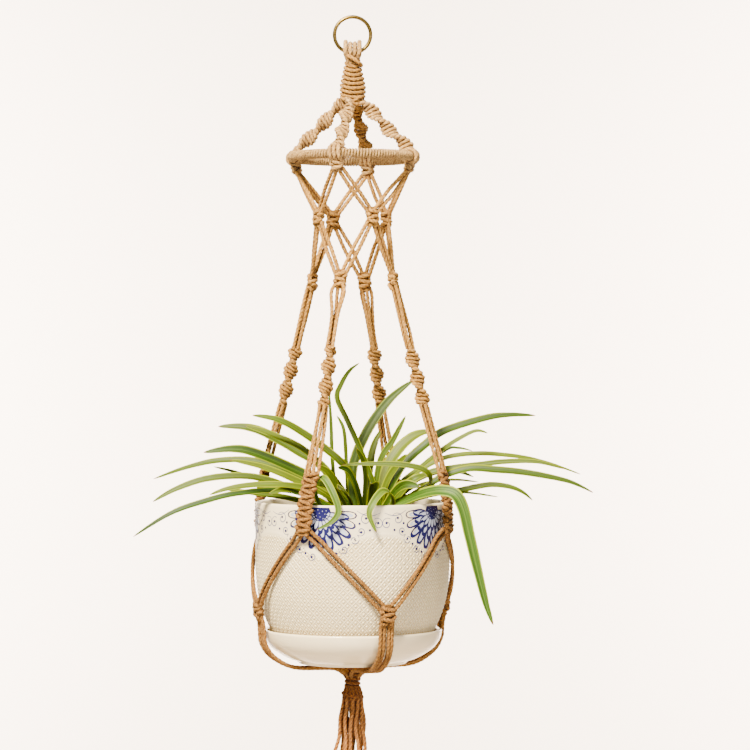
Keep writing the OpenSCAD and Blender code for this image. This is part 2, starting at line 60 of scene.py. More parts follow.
def add(tree, kind, *inputs, out=0, stops=(), **settings):
    """Adds one node and gives back its output `out`, or the node itself for None.

    inputs fill its sockets in order; settings are its properties, or its inputs by name with spaces as
    underscores (i6 is the seventh). Each is a value, a hex colour, an output, or a list of outputs.
    """
    n = tree.nodes.new(kind)
    for k, v in [*settings.items(), *((f"i{j}", v) for j, v in enumerate(inputs))]:
        if hasattr(n, k):
            setattr(n, k, v)
            continue
        socket = n.inputs[int(k[1:]) if k[0] == "i" and k[1:].isdigit() else k.replace("_", " ")]
        for source in v if isinstance(v, list) else [v]:
            if isinstance(source, bpy.types.NodeSocket):
                tree.links.new(source, socket)
            else:
                socket.default_value = srgb(source) if str(source)[0] == "#" else source
    if stops:
        band = n.color_ramp.elements
        while len(band) < len(stops):
            band.new(0.5)
        for e, (pos, colour) in zip(band, stops):
            e.position = pos
            e.color = srgb(colour) if isinstance(colour, str) else (colour, colour, colour, 1)
    return n if out is None else n.outputs[out]


def lerp(a, b, t):
    return a + (b - a) * t


def look(x, table):
    """Linear look-up in [(key, value), ...] sorted by rising key."""
    if x <= table[0][0]:
        return table[0][1]
    for (x0, y0), (x1, y1) in zip(table, table[1:]):
        if x <= x1:
            return y0 + (y1 - y0) * (x - x0) / (x1 - x0)
    return table[-1][1]


def at(az, r, z):
    """The point at an azimuth, a radius and a height."""
    a = math.radians(az)
    return Vector((-r * math.sin(a), -r * math.cos(a), z))


def out_dir(az):
    a = math.radians(az)
    return Vector((-math.sin(a), -math.cos(a), 0))


def side_dir(az):
    a = math.radians(az)
    return Vector((-math.cos(a), math.sin(a), 0))


def smooth(points, k=6):
    """A Catmull-Rom curve through points, k steps to a span."""
    p = [Vector(q) for q in points]
    n = len(p)
    out = []
    for i in range(n - 1):
        a, b, c, d = p[max(i - 1, 0)], p[i], p[i + 1], p[min(i + 2, n - 1)]
        for j in range(k):
            t = j / k
            bend, twist = 2 * a - 5 * b + 4 * c - d, 3 * b - a - 3 * c + d
            out.append(0.5 * (2 * b + (c - a) * t + bend * t * t + twist * t**3))
    out.append(p[-1])
    return out


class Spine:
    """A centre line with a side direction and an outward direction at each distance along it."""

    def __init__(self, pts, side):
        self.p = [Vector(q) for q in pts]
        self.side = side
        self.d = [0.0]
        for a, b in zip(self.p, self.p[1:]):
            self.d.append(self.d[-1] + (b - a).length)
        self.len = self.d[-1]

    def at(self, s, u, v):
        """The point at distance s, u to the side and v outwards."""
        s = min(max(s, 0), self.len)
        i = max(j for j in range(len(self.p) - 1) if self.d[j] <= s or j == 0)
        t = (s - self.d[i]) / max(self.d[i + 1] - self.d[i], 1e-9)
        c = self.p[i].lerp(self.p[i + 1], t)
        tan = (self.p[min(i + 2, len(self.p) - 1)] - self.p[max(i - 1, 0)]).normalized()
        side = (self.side - tan * self.side.dot(tan)).normalized()
        return c + side * u + side.cross(tan) * v


# ---------------------------------------------------------------- camera
DISTANCE, FIELD = 2.9, 0.752  # metres to the hanger's axis, and how much is seen across there
ASIDE, EYE = 0.0225, -0.347
SENSOR = 36
cam_data = bpy.data.cameras.new("camera")
cam_data.lens = SENSOR * DISTANCE / FIELD
cam_data.sensor_width = SENSOR
cam_data.clip_start, cam_data.clip_end = 0.05, 50
cam_data.shift_y = -0.0135
camera = bpy.data.objects.new("camera", cam_data)
camera.location = (ASIDE, -DISTANCE, EYE)
camera.rotation_euler = (math.pi / 2, 0, 0)
bpy.context.scene.collection.objects.link(camera)
bpy.context.scene.camera = camera

# ---------------------------------------------------------------- materials


MATH, NOISE, RAMP = "ShaderNodeMath", "ShaderNodeTexNoise", "ShaderNodeValToRGB"
COORDS, MARK, BUMP = "ShaderNodeTexCoord", "ShaderNodeAttribute", "ShaderNodeBump"
MIX, COLOURS = "ShaderNodeMix", {"data_type": "RGBA", "out": 2}  # i0 is how much of i7 goes over i6


def material(name, **looks):
    """A material, its tree and its main shader; looks are that shader's inputs."""
    m = bpy.data.materials.new(name)
    m.use_nodes = True
    t = m.node_tree
    t.nodes.clear()
    b = add(t, "ShaderNodeBsdfPrincipled", out=None, **looks)
    add(t, "ShaderNodeOutputMaterial", b.outputs[0], out=None)
    return m, t, b


def jute(name, light, mid, deep, tint, shade=0.92):
    """Jute, spun in three plies and left undyed: dull, hairy and streaky, with painted shade in the
    grooves between plies and in the nooks between strands.
    """
    m, t, b = material(name, Roughness=0.86, Sheen_Weight=0.04, Specular_IOR_Level=0.12)
    lie = add(t, MARK, attribute_name="fibre", out="Vector")
    # a fibre is 0.1 mm thick; its streaks are drawn 0.4 mm wide and 2 mm long, so that they show
    streak = add(t, NOISE, Vector=lie, Scale=5.5, Detail=6.0, Roughness=0.7, out="Fac")
    spot = add(t, COORDS, out="Object")
    patch = add(t, NOISE, Vector=spot, Scale=130.0, Detail=3.0, out="Fac")  # 8 mm
    grain = add(t, NOISE, Vector=spot, Scale=560.0, Detail=3.0, Roughness=0.6, out="Fac")  # 2 mm
    col = add(t, RAMP, streak, stops=[(0.34, deep), (0.48, mid), (0.64, light)])
    tinted = add(t, MATH, patch, 0.45, operation="MULTIPLY")
    col = add(t, MIX, i0=tinted, i6=col, i7=tint, **COLOURS)
    specks = add(t, RAMP, grain, stops=[(0.44, 0.0), (0.62, 0.5)])
    col = add(t, MIX, i0=specks, i6=col, i7=deep, **COLOURS)
    # painted shade: the grooves between the plies are darkened towards the deep colour
    groove = add(t, MARK, attribute_name="groove", out="Fac")
    groove_shade = add(t, MATH, groove, 0.6, operation="MULTIPLY")
    col = add(t, MIX, i0=groove_shade, i6=col, i7=deep, **COLOURS)
    # painted shade in the 6 mm nooks between strands, darker where a spot is closed in
    nook = add(t, "ShaderNodeAmbientOcclusion", samples=1, Distance=0.006, out="AO")
    nook_shade = add(t, RAMP, nook, stops=[(0.3, shade), (0.9, 0.0)])
    col = add(t, MIX, i0=nook_shade, i6=col, i7=deep, **COLOURS)
    strand = add(t, MARK, attribute_name="strand", out="Fac")
    tone = add(t, RAMP, strand, stops=[(0.0, 0.86), (1.0, 1.12)])
    col = add(t, MIX, blend_type="MULTIPLY", i0=1.0, i6=col, i7=tone, **COLOURS)
    rough = add(t, MATH, streak, grain, operation="ADD")
    bump = add(t, BUMP, Height=rough, Strength=0.9, Distance=0.0008)
    t.links.new(col, b.inputs["Base Color"])
    t.links.new(bump, b.inputs["Normal"])
    return m


JUTE = jute("jute_cord", "#F6CE7C", "#CC903E", "#3E1A06", "#DCA54C")
# painted light: a paler copy of the same jute, for the ring loops, three of the top twists and the hoop
# hitches at the top of the hanger
JUTE_LIT = jute("jute_cord_lit", "#FADCA0", "#D6A45C", "#56300E", "#E6BC74")
JUTE_FINE = jute("jute_yarn", "#FBE0A6", "#DCAE66", "#6A431C", "#E8C07C", 0.35)
# painted shade: a darker copy of the same jute, for the rim sennits, the cradle cords and knots and the
# base cords low on the pot
JUTE_LOW_SHADED = jute("jute_cord_low_shaded", "#D8AA62", "#A06C2E", "#341604", "#B27E3C")
JUTE_TASSEL = jute("jute_cord_tassel", "#F4B870", "#C07C3A", "#4A2008", "#D29248", 0.75)
# painted shade: the darkest copy of the same jute, for the gather wrap and its collar under the saucer
JUTE_SHADE = jute("jute_cord_shaded", "#BC8244", "#84501E", "#301204", "#9A622C")


def underglaze(name, colour):
    """Colour brushed on under a clear glaze: flat and even, with a soft gloss."""
    return material(name, Base_Color=colour, Roughness=0.42, Coat_Weight=0.05, Coat_Roughness=0.06)[0]


def worn_metal(name, colour, dark):
    """Plated steel wire, drawn and bent: bright, with faint handling marks in its gloss."""
    m, t, b = material(name, Metallic=1.0)
    spot = add(t, COORDS, out="Object")
    marks = add(t, NOISE, Vector=spot, Scale=420.0, Detail=4.0, out="Fac")  # 2.4 mm
    rubbed = add(t, RAMP, marks, stops=[(0.4, 0.0), (0.75, 1.0)])
    t.links.new(add(t, MIX, i0=rubbed, i6=colour, i7=dark, **COLOURS), b.inputs["Base Color"])
    t.links.new(add(t, RAMP, marks, stops=[(0.3, 0.24), (0.8, 0.48)]), b.inputs["Roughness"])
    return m


METAL = worn_metal("plated_ring_wire", "#86703C", "#3C2C10")


DIAMONDS, DIAMOND_TALL = 74, 8.25  # lattice cells round the pot, and the height of one in mm


def lattice(t):
    """How high a ridge or a bead of the pot's embossed lattice stands at a spot, 0 to 1 each."""
    spot = add(t, COORDS, out="Object")
    x, y, z = add(t, "ShaderNodeSeparateXYZ", spot, out=None).outputs
    turn = add(t, MATH, y, x, operation="ARCTAN2")
    u = add(t, MATH, turn, DIAMONDS / math.tau, operation="MULTIPLY")
    v = add(t, MATH, z, 1000 / DIAMOND_TALL, operation="MULTIPLY")
    slants = [add(t, MATH, u, v, operation=way) for way in ("ADD", "SUBTRACT")]
    p, q = [add(t, MATH, slant, 0.5, operation="PINGPONG") for slant in slants]
    near = add(t, MATH, add(t, MATH, p, q, operation="MINIMUM"), 0.13, operation="DIVIDE")
    ridge = add(t, MATH, 1.0, near, operation="SUBTRACT", use_clamp=True)
    off = [add(t, MATH, 0.5, k, operation="SUBTRACT") for k in (p, q)]
    squares = [add(t, MATH, k, 2.0, operation="POWER") for k in off]
    far = add(t, MATH, add(t, MATH, *squares, operation="ADD"), 0.055, operation="DIVIDE")
    bead = add(t, MATH, 1.0, far, operation="SUBTRACT", use_clamp=True)
    return ridge, bead


def glaze(name, colour, cloud_and_shade_colour, rough, embossed=False):
    """Glazed stoneware, dipped: the glaze is a little darker in soft clouds and has painted shade in
    the hollows of the relief, with a faint speckle.
    """
    m, t, b = material(name, Roughness=rough, Coat_Weight=0.12, Coat_Roughness=0.12)
    spot = add(t, COORDS, out="Object")
    cloud = add(t, NOISE, Vector=spot, Scale=38.0, Detail=4.0, out="Fac")  # 26 mm
    speck = add(t, NOISE, Vector=spot, Scale=900.0, Detail=1.0, out="Fac")  # 1.1 mm
    wave = add(t, NOISE, Vector=spot, Scale=120.0, Detail=2.0, out="Fac")  # 8 mm
    cloud_and_shade = add(t, MATH, cloud, 0.16, operation="MULTIPLY")
    bump = add(t, BUMP, Height=wave, Strength=0.12, Distance=0.0006)
    if embossed:
        ridge, bead = lattice(t)
        inside = add(t, MARK, attribute_name="relief", out="Fac")
        top = add(t, MATH, ridge, add(t, MATH, bead, 1.6, operation="MULTIPLY"), operation="MAXIMUM")
        # painted shade in the relief's hollows, away from its ridges and beads
        low = add(t, MATH, 0.62, top, operation="SUBTRACT", use_clamp=True)
        low = add(t, MATH, low, inside, operation="MULTIPLY")
        cloud_and_shade = add(t, MATH, cloud_and_shade, low, operation="ADD", use_clamp=True)
        high = add(t, MATH, add(t, MATH, ridge, 0.7, operation="MULTIPLY"), bead, operation="ADD")
        high = add(t, MATH, high, inside, operation="MULTIPLY")
        bump = add(t, BUMP, Height=high, Normal=bump, Strength=0.9, Distance=0.0009)
    col = add(t, MIX, i0=cloud_and_shade, i6=colour, i7=cloud_and_shade_colour, **COLOURS)
    specks = add(t, RAMP, speck, stops=[(0.70, 0.0), (0.78, 0.3)])
    col = add(t, MIX, i0=specks, i6=col, i7="#CDB68C", **COLOURS)
    t.links.new(col, b.inputs["Base Color"])
    t.links.new(bump, b.inputs["Normal"])
    return m


POT_GLAZE = glaze("ivory_relief_glaze", "#FFF2CC", "#DABF80", 0.4, True)
SAUCER_GLAZE = glaze("white_saucer_glaze", "#FFEFC8", "#E4CC94", 0.14)


def leaf_material(name, deep, mid, edge, stripe):
    """A waxy strap leaf: fine veins along it, a paler margin, a pale keel and foot, a dry brown tip."""
    m, t, b = material(name, Roughness=0.5, Specular_IOR_Level=0.28, Subsurface_Weight=0.08,
        Subsurface_Radius=(0.003, 0.004, 0.001))
    uv = add(t, "ShaderNodeUVMap", uv_map="UVMap")
    across, along, _ = add(t, "ShaderNodeSeparateXYZ", uv, out=None).outputs
    tone = add(t, MARK, attribute_name="tone", out="Fac")
    # veins lie 0.3 mm apart; they are drawn 26 to a leaf's width, and differ from leaf to leaf
    stretch = [add(t, MATH, k, many, operation="MULTIPLY")
        for k, many in ((across, 26.0), (along, 3.0), (tone, 40.0))]
    lie = add(t, "ShaderNodeCombineXYZ", *stretch)
    veins = add(t, NOISE, Vector=lie, Scale=1.0, Detail=3.0, out="Fac")
    off = add(t, MATH, add(t, MATH, across, 0.5, operation="SUBTRACT"), operation="ABSOLUTE")
    col = add(t, RAMP, veins, stops=[(0.32, deep), (0.52, mid), (0.75, stripe)])
    young = add(t, MATH, tone, 0.3, operation="MULTIPLY")
    for part, colour in (
        (add(t, RAMP, off, stops=[(0.36, 0.0), (0.44, 0.75)]), edge),
        (add(t, RAMP, off, stops=[(0.0, 0.65), (0.06, 0.0)]), stripe),
        (young, edge),
        (add(t, RAMP, along, stops=[(0.0, 0.55), (0.22, 0.0)]), stripe),
        (add(t, RAMP, along, stops=[(0.965, 0.0), (0.99, 1.0)]), "#6A3A1E"),
    ):
        col = add(t, MIX, i0=part, i6=col, i7=colour, **COLOURS)
    t.links.new(col, b.inputs["Base Color"])
    t.links.new(add(t, BUMP, Height=veins, Strength=0.35, Distance=0.0005), b.inputs["Normal"])
    return m


LEAF = leaf_material("spider_plant_leaf", "#081800", "#1E3C00", "#8E9A00", "#44660C")
LEAF_PALE = leaf_material("spider_plant_leaf_pale", "#163200", "#34580A", "#96A414", "#688426")


def soil_material():
    """Potting mix: dull dark peat with paler bark crumbs, 4 mm and smaller."""
    m, t, b = material("potting_mix", Roughness=0.95)
    n = add(t, NOISE, Vector=add(t, COORDS, out="Object"), Scale=260.0, Detail=6.0, out="Fac")
    col = add(t, RAMP, n, stops=[(0.3, "#1E140C"), (0.6, "#3E2A1A"), (0.8, "#6E5034")])
    t.links.new(col, b.inputs["Base Color"])
    t.links.new(add(t, BUMP, Height=n, Strength=0.9, Distance=0.002), b.inputs["Normal"])
    return m


SOIL = soil_material()
BLUE = underglaze("cobalt_underglaze", "#0C0A4E")
PALE_PETAL = underglaze("pale_petal_underglaze", "#BCC4DA")
SWIRL_BLUE = underglaze("thin_blue_line_underglaze", "#4C5288")

# ---------------------------------------------------------------- meshes and geometry nodes


def mesh_object(name, verts, faces, mat, uvs=None, floats=None, smooth_shade=True):
    me = bpy.data.meshes.new(name)
    me.from_pydata([tuple(v) for v in verts], [], faces)
    me.materials.append(mat)
    if uvs is not None:
        layer = me.uv_layers.new(name="UVMap")
        idx = np.zeros(len(me.loops), np.int32)
        me.loops.foreach_get("vertex_index", idx)
        layer.data.foreach_set("uv", np.array(uvs, np.float32)[idx].ravel())
    for key, vals in (floats or {}).items():
        a = me.attributes.new(key, "FLOAT", "POINT")
        a.data.foreach_set("value", np.array(vals, np.float32))
    if smooth_shade:
        me.polygons.foreach_set("use_smooth", [True] * len(me.polygons))
    me.update()
    o = bpy.data.objects.new(name, me)
    bpy.context.scene.collection.objects.link(o)
    return o


RANDOM, STORE = "FunctionNodeRandomValue", "GeometryNodeStoreNamedAttribute"
SCATTER, PLACE_ON = "GeometryNodeDistributePointsOnFaces", "GeometryNodeInstanceOnPoints"
FLOAT, WHOLE = "NodeSocketFloat", "NodeSocketInt"


def group(name, inputs):
    """A geometry tree with named inputs for its sizes, its seed and its material, and those inputs."""
    g = bpy.data.node_groups.new(name, "GeometryNodeTree")
    g.interface.new_socket("Geometry", in_out="INPUT", socket_type="NodeSocketGeometry")
    g.interface.new_socket("Geometry", in_out="OUTPUT", socket_type="NodeSocketGeometry")
    for label, kind, value in [*inputs, ("Seed", WHOLE, 1)]:
        g.interface.new_socket(label, in_out="INPUT", socket_type=kind).default_value = value
    g.interface.new_socket("Material", in_out="INPUT", socket_type="NodeSocketMaterial")
    return g, g.nodes.new("NodeGroupInput").outputs


def close_group(g, i, *parts):
    """Joins the parts, makes instances real and gives all of it the material."""
    join = add(g, "GeometryNodeJoinGeometry", Geometry=list(parts))
    real = add(g, "GeometryNodeRealizeInstances", Geometry=join)
    dressed = add(g, "GeometryNodeSetMaterial", Geometry=real, Material=i["Material"])
    g.links.new(dressed, g.nodes.new("NodeGroupOutput").inputs[0])
    return g


def cord_group():
    """Spun cord: a lobed three-ply section swept along the curves, with short stray fibres on it."""
    g, i = group("JuteCord", [("Radius", FLOAT, 0.0023), ("Lay Pitch", FLOAT, 0.015),
        ("Ring Gap", FLOAT, 0.0012), ("Sides", WHOLE, 15), ("Fuzz", FLOAT, 20000.0),
        ("Fuzz Length", FLOAT, 0.003)])
    line = add(g, "GeometryNodeResampleCurve", mode="LENGTH", Curve=i["Geometry"], Length=i["Ring Gap"])
    length = add(g, "GeometryNodeSplineParameter", out="Length")
    turns = add(g, MATH, length, i["Lay Pitch"], operation="DIVIDE")
    lay = add(g, MATH, turns, math.tau, operation="MULTIPLY")
    line = add(g, "GeometryNodeSetCurveTilt", Curve=line, Tilt=lay)
    run = add(g, MATH, length, i["Radius"], operation="DIVIDE")
    line = add(g, STORE, data_type="FLOAT", domain="POINT", Geometry=line, Name="run", Value=run)
    shade = add(g, RANDOM, data_type="FLOAT", Seed=i["Seed"], out=1)
    line = add(g, STORE, data_type="FLOAT", domain="CURVE", Geometry=line, Name="strand", Value=shade)
    # the section: three lobes of one radius
    prof = add(g, "GeometryNodeCurvePrimitiveCircle", Resolution=i["Sides"], Radius=1.0)
    step = add(g, MATH, add(g, "GeometryNodeInputIndex"), math.tau, operation="MULTIPLY")
    ang = add(g, MATH, step, i["Sides"], operation="DIVIDE")
    lobe = add(g, MATH, add(g, MATH, ang, 1.5, operation="MULTIPLY"), operation="COSINE")
    lobe = add(g, MATH, lobe, operation="ABSOLUTE")
    size = add(g, MATH, lobe, 0.24, 0.78, operation="MULTIPLY_ADD")
    size = add(g, MATH, size, i["Radius"], operation="MULTIPLY")
    # how deep a point lies in a groove between plies; the jute material paints shade there
    groove = add(g, MATH, 1.0, add(g, MATH, lobe, 0.55, operation="POWER"), operation="SUBTRACT")
    for mark, value in (("groove", groove), ("pc", add(g, MATH, ang, operation="COSINE")),
            ("ps", add(g, MATH, ang, operation="SINE"))):
        prof = add(g, STORE, data_type="FLOAT", domain="POINT", Geometry=prof, Name=mark, Value=value)
    pos = add(g, "GeometryNodeInputPosition")
    pos = add(g, "ShaderNodeVectorMath", pos, operation="SCALE", Scale=size)
    prof = add(g, "GeometryNodeSetPosition", Geometry=prof, Position=pos)
    sweep = add(g, "GeometryNodeCurveToMesh", Curve=line, Profile_Curve=prof, Fill_Caps=True)
    # the fibre's lie: round the section, and less fast along the cord
    lie = [add(g, "GeometryNodeInputNamedAttribute", data_type="FLOAT", Name=k, out="Attribute")
        for k in ("pc", "ps", "run")]
    lie = [add(g, MATH, k, much, operation="MULTIPLY") for k, much in zip(lie, (1.0, 1.0, 0.22))]
    lie = add(g, "ShaderNodeCombineXYZ", *lie)
    body = add(g, STORE, data_type="FLOAT_VECTOR", domain="POINT", Geometry=sweep, Name="fibre",
        Value=lie)
    # stray fibres
    dots = add(g, SCATTER, out=None, Mesh=body, Density=i["Fuzz"], Seed=i["Seed"]).outputs
    bend = add(g, "GeometryNodeCurveQuadraticBezier", Resolution=3, Start=(0, 0, 0),
        Middle=(0.12, 0, 0.55), End=(0.55, 0.1, 0.85))
    thin = add(g, "GeometryNodeCurvePrimitiveCircle", Resolution=3, Radius=0.028)
    hair = add(g, "GeometryNodeCurveToMesh", Curve=bend, Profile_Curve=thin)
    hairs = add(g, PLACE_ON, Points=dots["Points"], Instance=hair, Rotation=dots["Rotation"])
    lean = add(g, RANDOM, data_type="FLOAT_VECTOR", Seed=i["Seed"], i0=(-0.7, -0.7, 0),
        i1=(0.7, 0.7, 6.28))
    hairs = add(g, "GeometryNodeRotateInstances", Instances=hairs, Rotation=lean)
    grown = add(g, RANDOM, data_type="FLOAT", Seed=i["Seed"], i2=0.35, out=1)
    grown = add(g, MATH, grown, i["Fuzz Length"], operation="MULTIPLY")
    hairs = add(g, "GeometryNodeScaleInstances", Instances=hairs, Scale=grown)
    return close_group(g, i, hairs, add(g, "GeometryNodeSetShadeSmooth", Geometry=body))


CORD = cord_group()


def through_group(host, g, **inputs):
    """Runs a geometry node group on host and gives back the finished object, host removed."""
    mod = host.modifiers.new("build", "NODES")
    mod.node_group = g
    ids = {s.name: s.identifier for s in g.interface.items_tree if s.in_out == "INPUT"}
    for k, v in inputs.items():
        mod[ids[k.replace("_", " ")]] = v
    dg = bpy.context.evaluated_depsgraph_get()
    dg.update()
    me = bpy.data.meshes.new_from_object(host.evaluated_get(dg))
    host.modifiers.remove(mod)
    name = host.name
    host.name = "used"
    o = bpy.data.objects.new(name, me)
    me.name = name
    for key in ("pc", "ps", "run"):
        if key in me.attributes:
            me.attributes.remove(me.attributes[key])
    bpy.context.scene.collection.objects.link(o)
    bpy.data.objects.remove(host)
    return o


def cords(name, paths, r=CORD_R, pitch=LAY_PITCH, mat=JUTE, sides=15, gap=1.3, fuzz=14000.0, hair=3.0):
    """Cords along paths given in millimetres, as one finished mesh."""
    cu = bpy.data.curves.new(name, "CURVE")
    cu.dimensions = "3D"
    for path in paths:
        s = cu.splines.new("POLY")
        s.points.add(len(path) - 1)
        for p, q in zip(s.points, path):
            p.co = (q[0] * MM, q[1] * MM, q[2] * MM, 1)
    host = bpy.data.objects.new(name, cu)
    bpy.context.scene.collection.objects.link(host)
    seed = sum(ord(c) * (k + 1) for k, c in enumerate(name)) % 9973
    return through_group(host, CORD, Radius=r * MM, Lay_Pitch=pitch * MM, Ring_Gap=gap * MM,
        Sides=sides,
        Fuzz=fuzz, Fuzz_Length=hair * MM, Seed=seed, Material=mat)


def place(o, body, slot, *nodes):
    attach(o, body)
    if nodes:
        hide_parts(*nodes)
    return o


# ---------------------------------------------------------------- tassel: the free cords
TASSEL_TOP, TASSEL_END = -681, -852
# azimuth, radius at the collar and at the end, and how much shorter the strand is cut
STRANDS = [(0, 9, 17, 2), (36, 9, 14, 8), (108, 9, 16, 0), (144, 9, 15, 12), (180, 9, 13, 4),
    (216, 9, 16, 16), (252, 9, 14, 6),
    (288, 9, 17, 10), (324, 9, 15, 0), (18, 4.6, 9, 5), (90, 4.6, 10, 14), (162, 4.6, 9, 0),
        (234, 4.6, 10, 9), (306, 4.6, 9, 3),
    (40, 0, 2, 7), (72, 9, 22, 18)]


def tassel_path(k):
    az, r0, r1, cut = STRANDS[k]
    wave = [rng.uniform(-1, 1) for _ in range(4)]
    pts = []
    for j in range(17):
        t = j / 16
        q = at(az + 14 * t * (1 - t), lerp(r0, r1, t * (1.5 - 0.5 * t)),
            lerp(TASSEL_TOP, TASSEL_END + cut, t))
        a = 3.2 * min(1, t * 5)
        q += Vector((a * math.sin(9 * t + 3 * wave[0]) * wave[1] + 0.9 * min(1,
            t * 8) * math.sin(23 * t + 5 * wave[2]),
            a * math.cos(7 * t + 3 * wave[2]) * wave[3], 0))
        if k == 15:
            q += Vector((-5 * math.sin(math.pi * t) ** 2, -3 * t, 0))
        pts.append(q)
    return smooth(pts, 4)


for k in range(len(STRANDS)):
    path = tassel_path(k)
    strand = cords(f"Tassel_Strand_{k + 1:02d}", [path], r=2.1, mat=JUTE_TASSEL, gap=1.8, sides=12,
        fuzz=9000.0, hair=2.3)
    place(strand, "hanger", "jute", f"tassel_strand_{k + 1:02d}")

# ---------------------------------------------------------------- metal ring and the loops over it
RING_R, WIRE_R = 18.1, 1.9
RING_Z = -(RING_R - WIRE_R)
PIVOT_Z = RING_Z - RING_R


def torus(name, mat, big, small, nu, nv, centre, axis="Z"):
    verts, faces = [], []
    for i in range(nu):
        a = math.tau * i / nu
        for j in range(nv):
            b = math.tau * j / nv
            away, z = big + small * math.cos(b), small * math.sin(b)
            x, y = away * math.cos(a), away * math.sin(a)
            v = Vector((x, y, z)) if axis == "Z" else Vector((x, -z, y))
            verts.append((v + centre) * MM)
            faces.append((i * nv + j, ((i + 1) % nu) * nv + j, ((i + 1) % nu) * nv + (j + 1) % nv,
                i * nv + (j + 1) % nv))
    return mesh_object(name, verts, faces, mat)


place(torus("Hanging_Ring", METAL, RING_R, WIRE_R, 160, 28, Vector((0, 0, RING_Z)), "Y"), "ring",
    "ring_metal", "hanging_ring")


def ring_loop(x, layer):
    m = (4.8 if abs(x) < 4 else 6.4) + layer * 4.7
    pts = [(x * 0.5, m * 0.4, PIVOT_Z - 11), (x * 0.72, m * 0.66, PIVOT_Z - 6)]
    pts += [(x, m * math.cos(math.radians(f)),
        PIVOT_Z + m * math.sin(math.radians(f))) for f in range(0, 181, 18)]
    return smooth([*pts, (x * 0.72, -0.66 * m, PIVOT_Z - 6), (x * 0.5, -0.4 * m, PIVOT_Z - 11)], 4)


loops = [ring_loop(x, layer) for x in (-6.95, -2.32, 2.32, 6.95) for layer in (0, 1)]
place(cords("Ring_Loops", loops, mat=JUTE_LIT, fuzz=0.0), "hanger", "jute", "ring_loops")

# ---------------------------------------------------------------- knots as cord paths


def square_knots(spine, s0, count, pitch, wide, deep, fill=2, lead=0.0, flip=1):
    """Flat square knots: one worker crosses in front at every half knot and the other behind, and each
    loops round the other's edge."""
    a, b = [], []
    for i in range(count):
        s = s0 + (i + 0.5) * pitch
        w, d = wide(s), deep(s)
        g = flip * (-1) ** i
        if i == 0 and lead:
            a += [spine.at(s - lead, g * w * 0.9, 0)]
            b += [spine.at(s - lead, -g * w * 0.9, 0)]
        a += [spine.at(s - 0.2 * pitch, g * w * 0.82, d * 0.86), spine.at(s, 0, d * 1.1),
            spine.at(s + 0.2 * pitch, -g * w * 0.82, d * 0.86)]
        b += [spine.at(s - 0.16 * pitch, -g * w * 0.8, -d * 0.9), spine.at(s, 0, -d * 1.1),
            spine.at(s + 0.16 * pitch, g * w * 0.8, -d * 0.9)]
        if i < count - 1:
            a += [spine.at(s + 0.5 * pitch, -g * w * 1.1, 0.15 * d)]
            b += [spine.at(s + 0.3 * pitch, g * w * 1.3, -0.1 * d),
                spine.at(s + 0.5 * pitch, g * w * 1.16, 0.92 * d),
                spine.at(s + 0.74 * pitch, g * w * 0.9, 0.1 * d)]
    end = s0 + count * pitch + lead
    a += [spine.at(end, -g * w * 0.55, 0)]
    b += [spine.at(end, g * w * 0.55, 0)]
    paths = [smooth(a, 5), smooth(b, 5)]
    for k in range(fill):
        u = (k - (fill - 1) / 2) * 2.2
        paths.append([spine.at(lerp(s0 - lead, end, j / 8), u, 0) for j in range(9)])
    return paths


def spiral_knots(spine, s0, count, pitch, wide, thin, turn, start=0.0):
    """A spiral sennit: half knots of one hand, each one's oval turned a bit further than the last."""
    paths = []
    for phase in (0, math.pi):
        pts = []
        for j in range(count * 8 + 1):
            t = j / 8
            f, p = math.pi * t + phase, start + turn * t
            grow = min(1, (0.55 + 0.45 * min(t, count - t)))
            x, y = wide * grow * math.cos(f), thin * (1.0 + 0.12 * math.cos(2 * f)) * math.sin(f)
            pts.append(spine.at(s0 + pitch * t, x * math.cos(p) - y * math.sin(p),
                x * math.sin(p) + y * math.cos(p)))
        paths.append(pts)
    for u in (-1.2, 1.2):
        paths.append([spine.at(lerp(s0 - 3, s0 + count * pitch + 3, j / 24),
            u * math.cos(start + turn * count * j / 24),
            u * math.sin(start + turn * count * j / 24)) for j in range(25)])
    return paths


def head_wide(z):
    return look(-z, [(40, 5.6), (50, 7.6), (68, 11.6), (77, 11.2), (86, 8.6)])


HEAD_TOP, BARS, BAR_PITCH, BAR_STEPS = -40.0, 9, 4.45, 20
bars = []  # one cord wound round the bundle, hanging lower in the middle of the front
for j in range(BARS * BAR_STEPS + 11):
    a, z = math.tau * j / BAR_STEPS, HEAD_TOP - BAR_PITCH * j / BAR_STEPS
    w = head_wide(z) * (1 + 0.05 * math.sin(j * 0.31))
    bars.append(Vector((-w * math.cos(a), -0.84 * w * math.sin(a), z - 2.8 * max(0, math.sin(a)) ** 2)))
head_paths = [bars]
HEAD_HEIGHTS = (-41, -52, -64, -76, -87)
for k in range(13):  # the bundle inside, which shows above and below
    a = math.tau * k / 13
    head_paths.append(smooth([(0.62 * head_wide(z) * math.cos(a + 0.012 * z),
        0.55 * head_wide(z) * math.sin(a + 0.012 * z), z)
        for z in HEAD_HEIGHTS], 4))
for a in (0.3, 2.2, 4.1):
    head_paths.append([(0.24 * head_wide(z) * math.cos(a), 0.26 * head_wide(z) * math.sin(a),
        z) for z in HEAD_HEIGHTS])
head_paths.append(smooth([(-7.4, 1, -35), (-6.4, -8.6, -37), (0, -11.2, -40.5), (6.4, -9.4, -45),
    (8.8, -1, -47), (5, 7, -45)], 5))
head_paths.append(smooth([(-10.4, 3, -78), (-10.2, -4, -79.5), (-5, -9.4, -83.5), (2, -9.8, -86),
    (7.5, -6, -85.5), (9.4, 1, -82)], 5))
head_paths.append(smooth([(10.2, 3, -79), (9.6, -5, -78.5), (4, -9.6, -81), (-3, -9.0, -86.5),
    (-7, -3, -88), (-6.4, 4, -86)], 5))
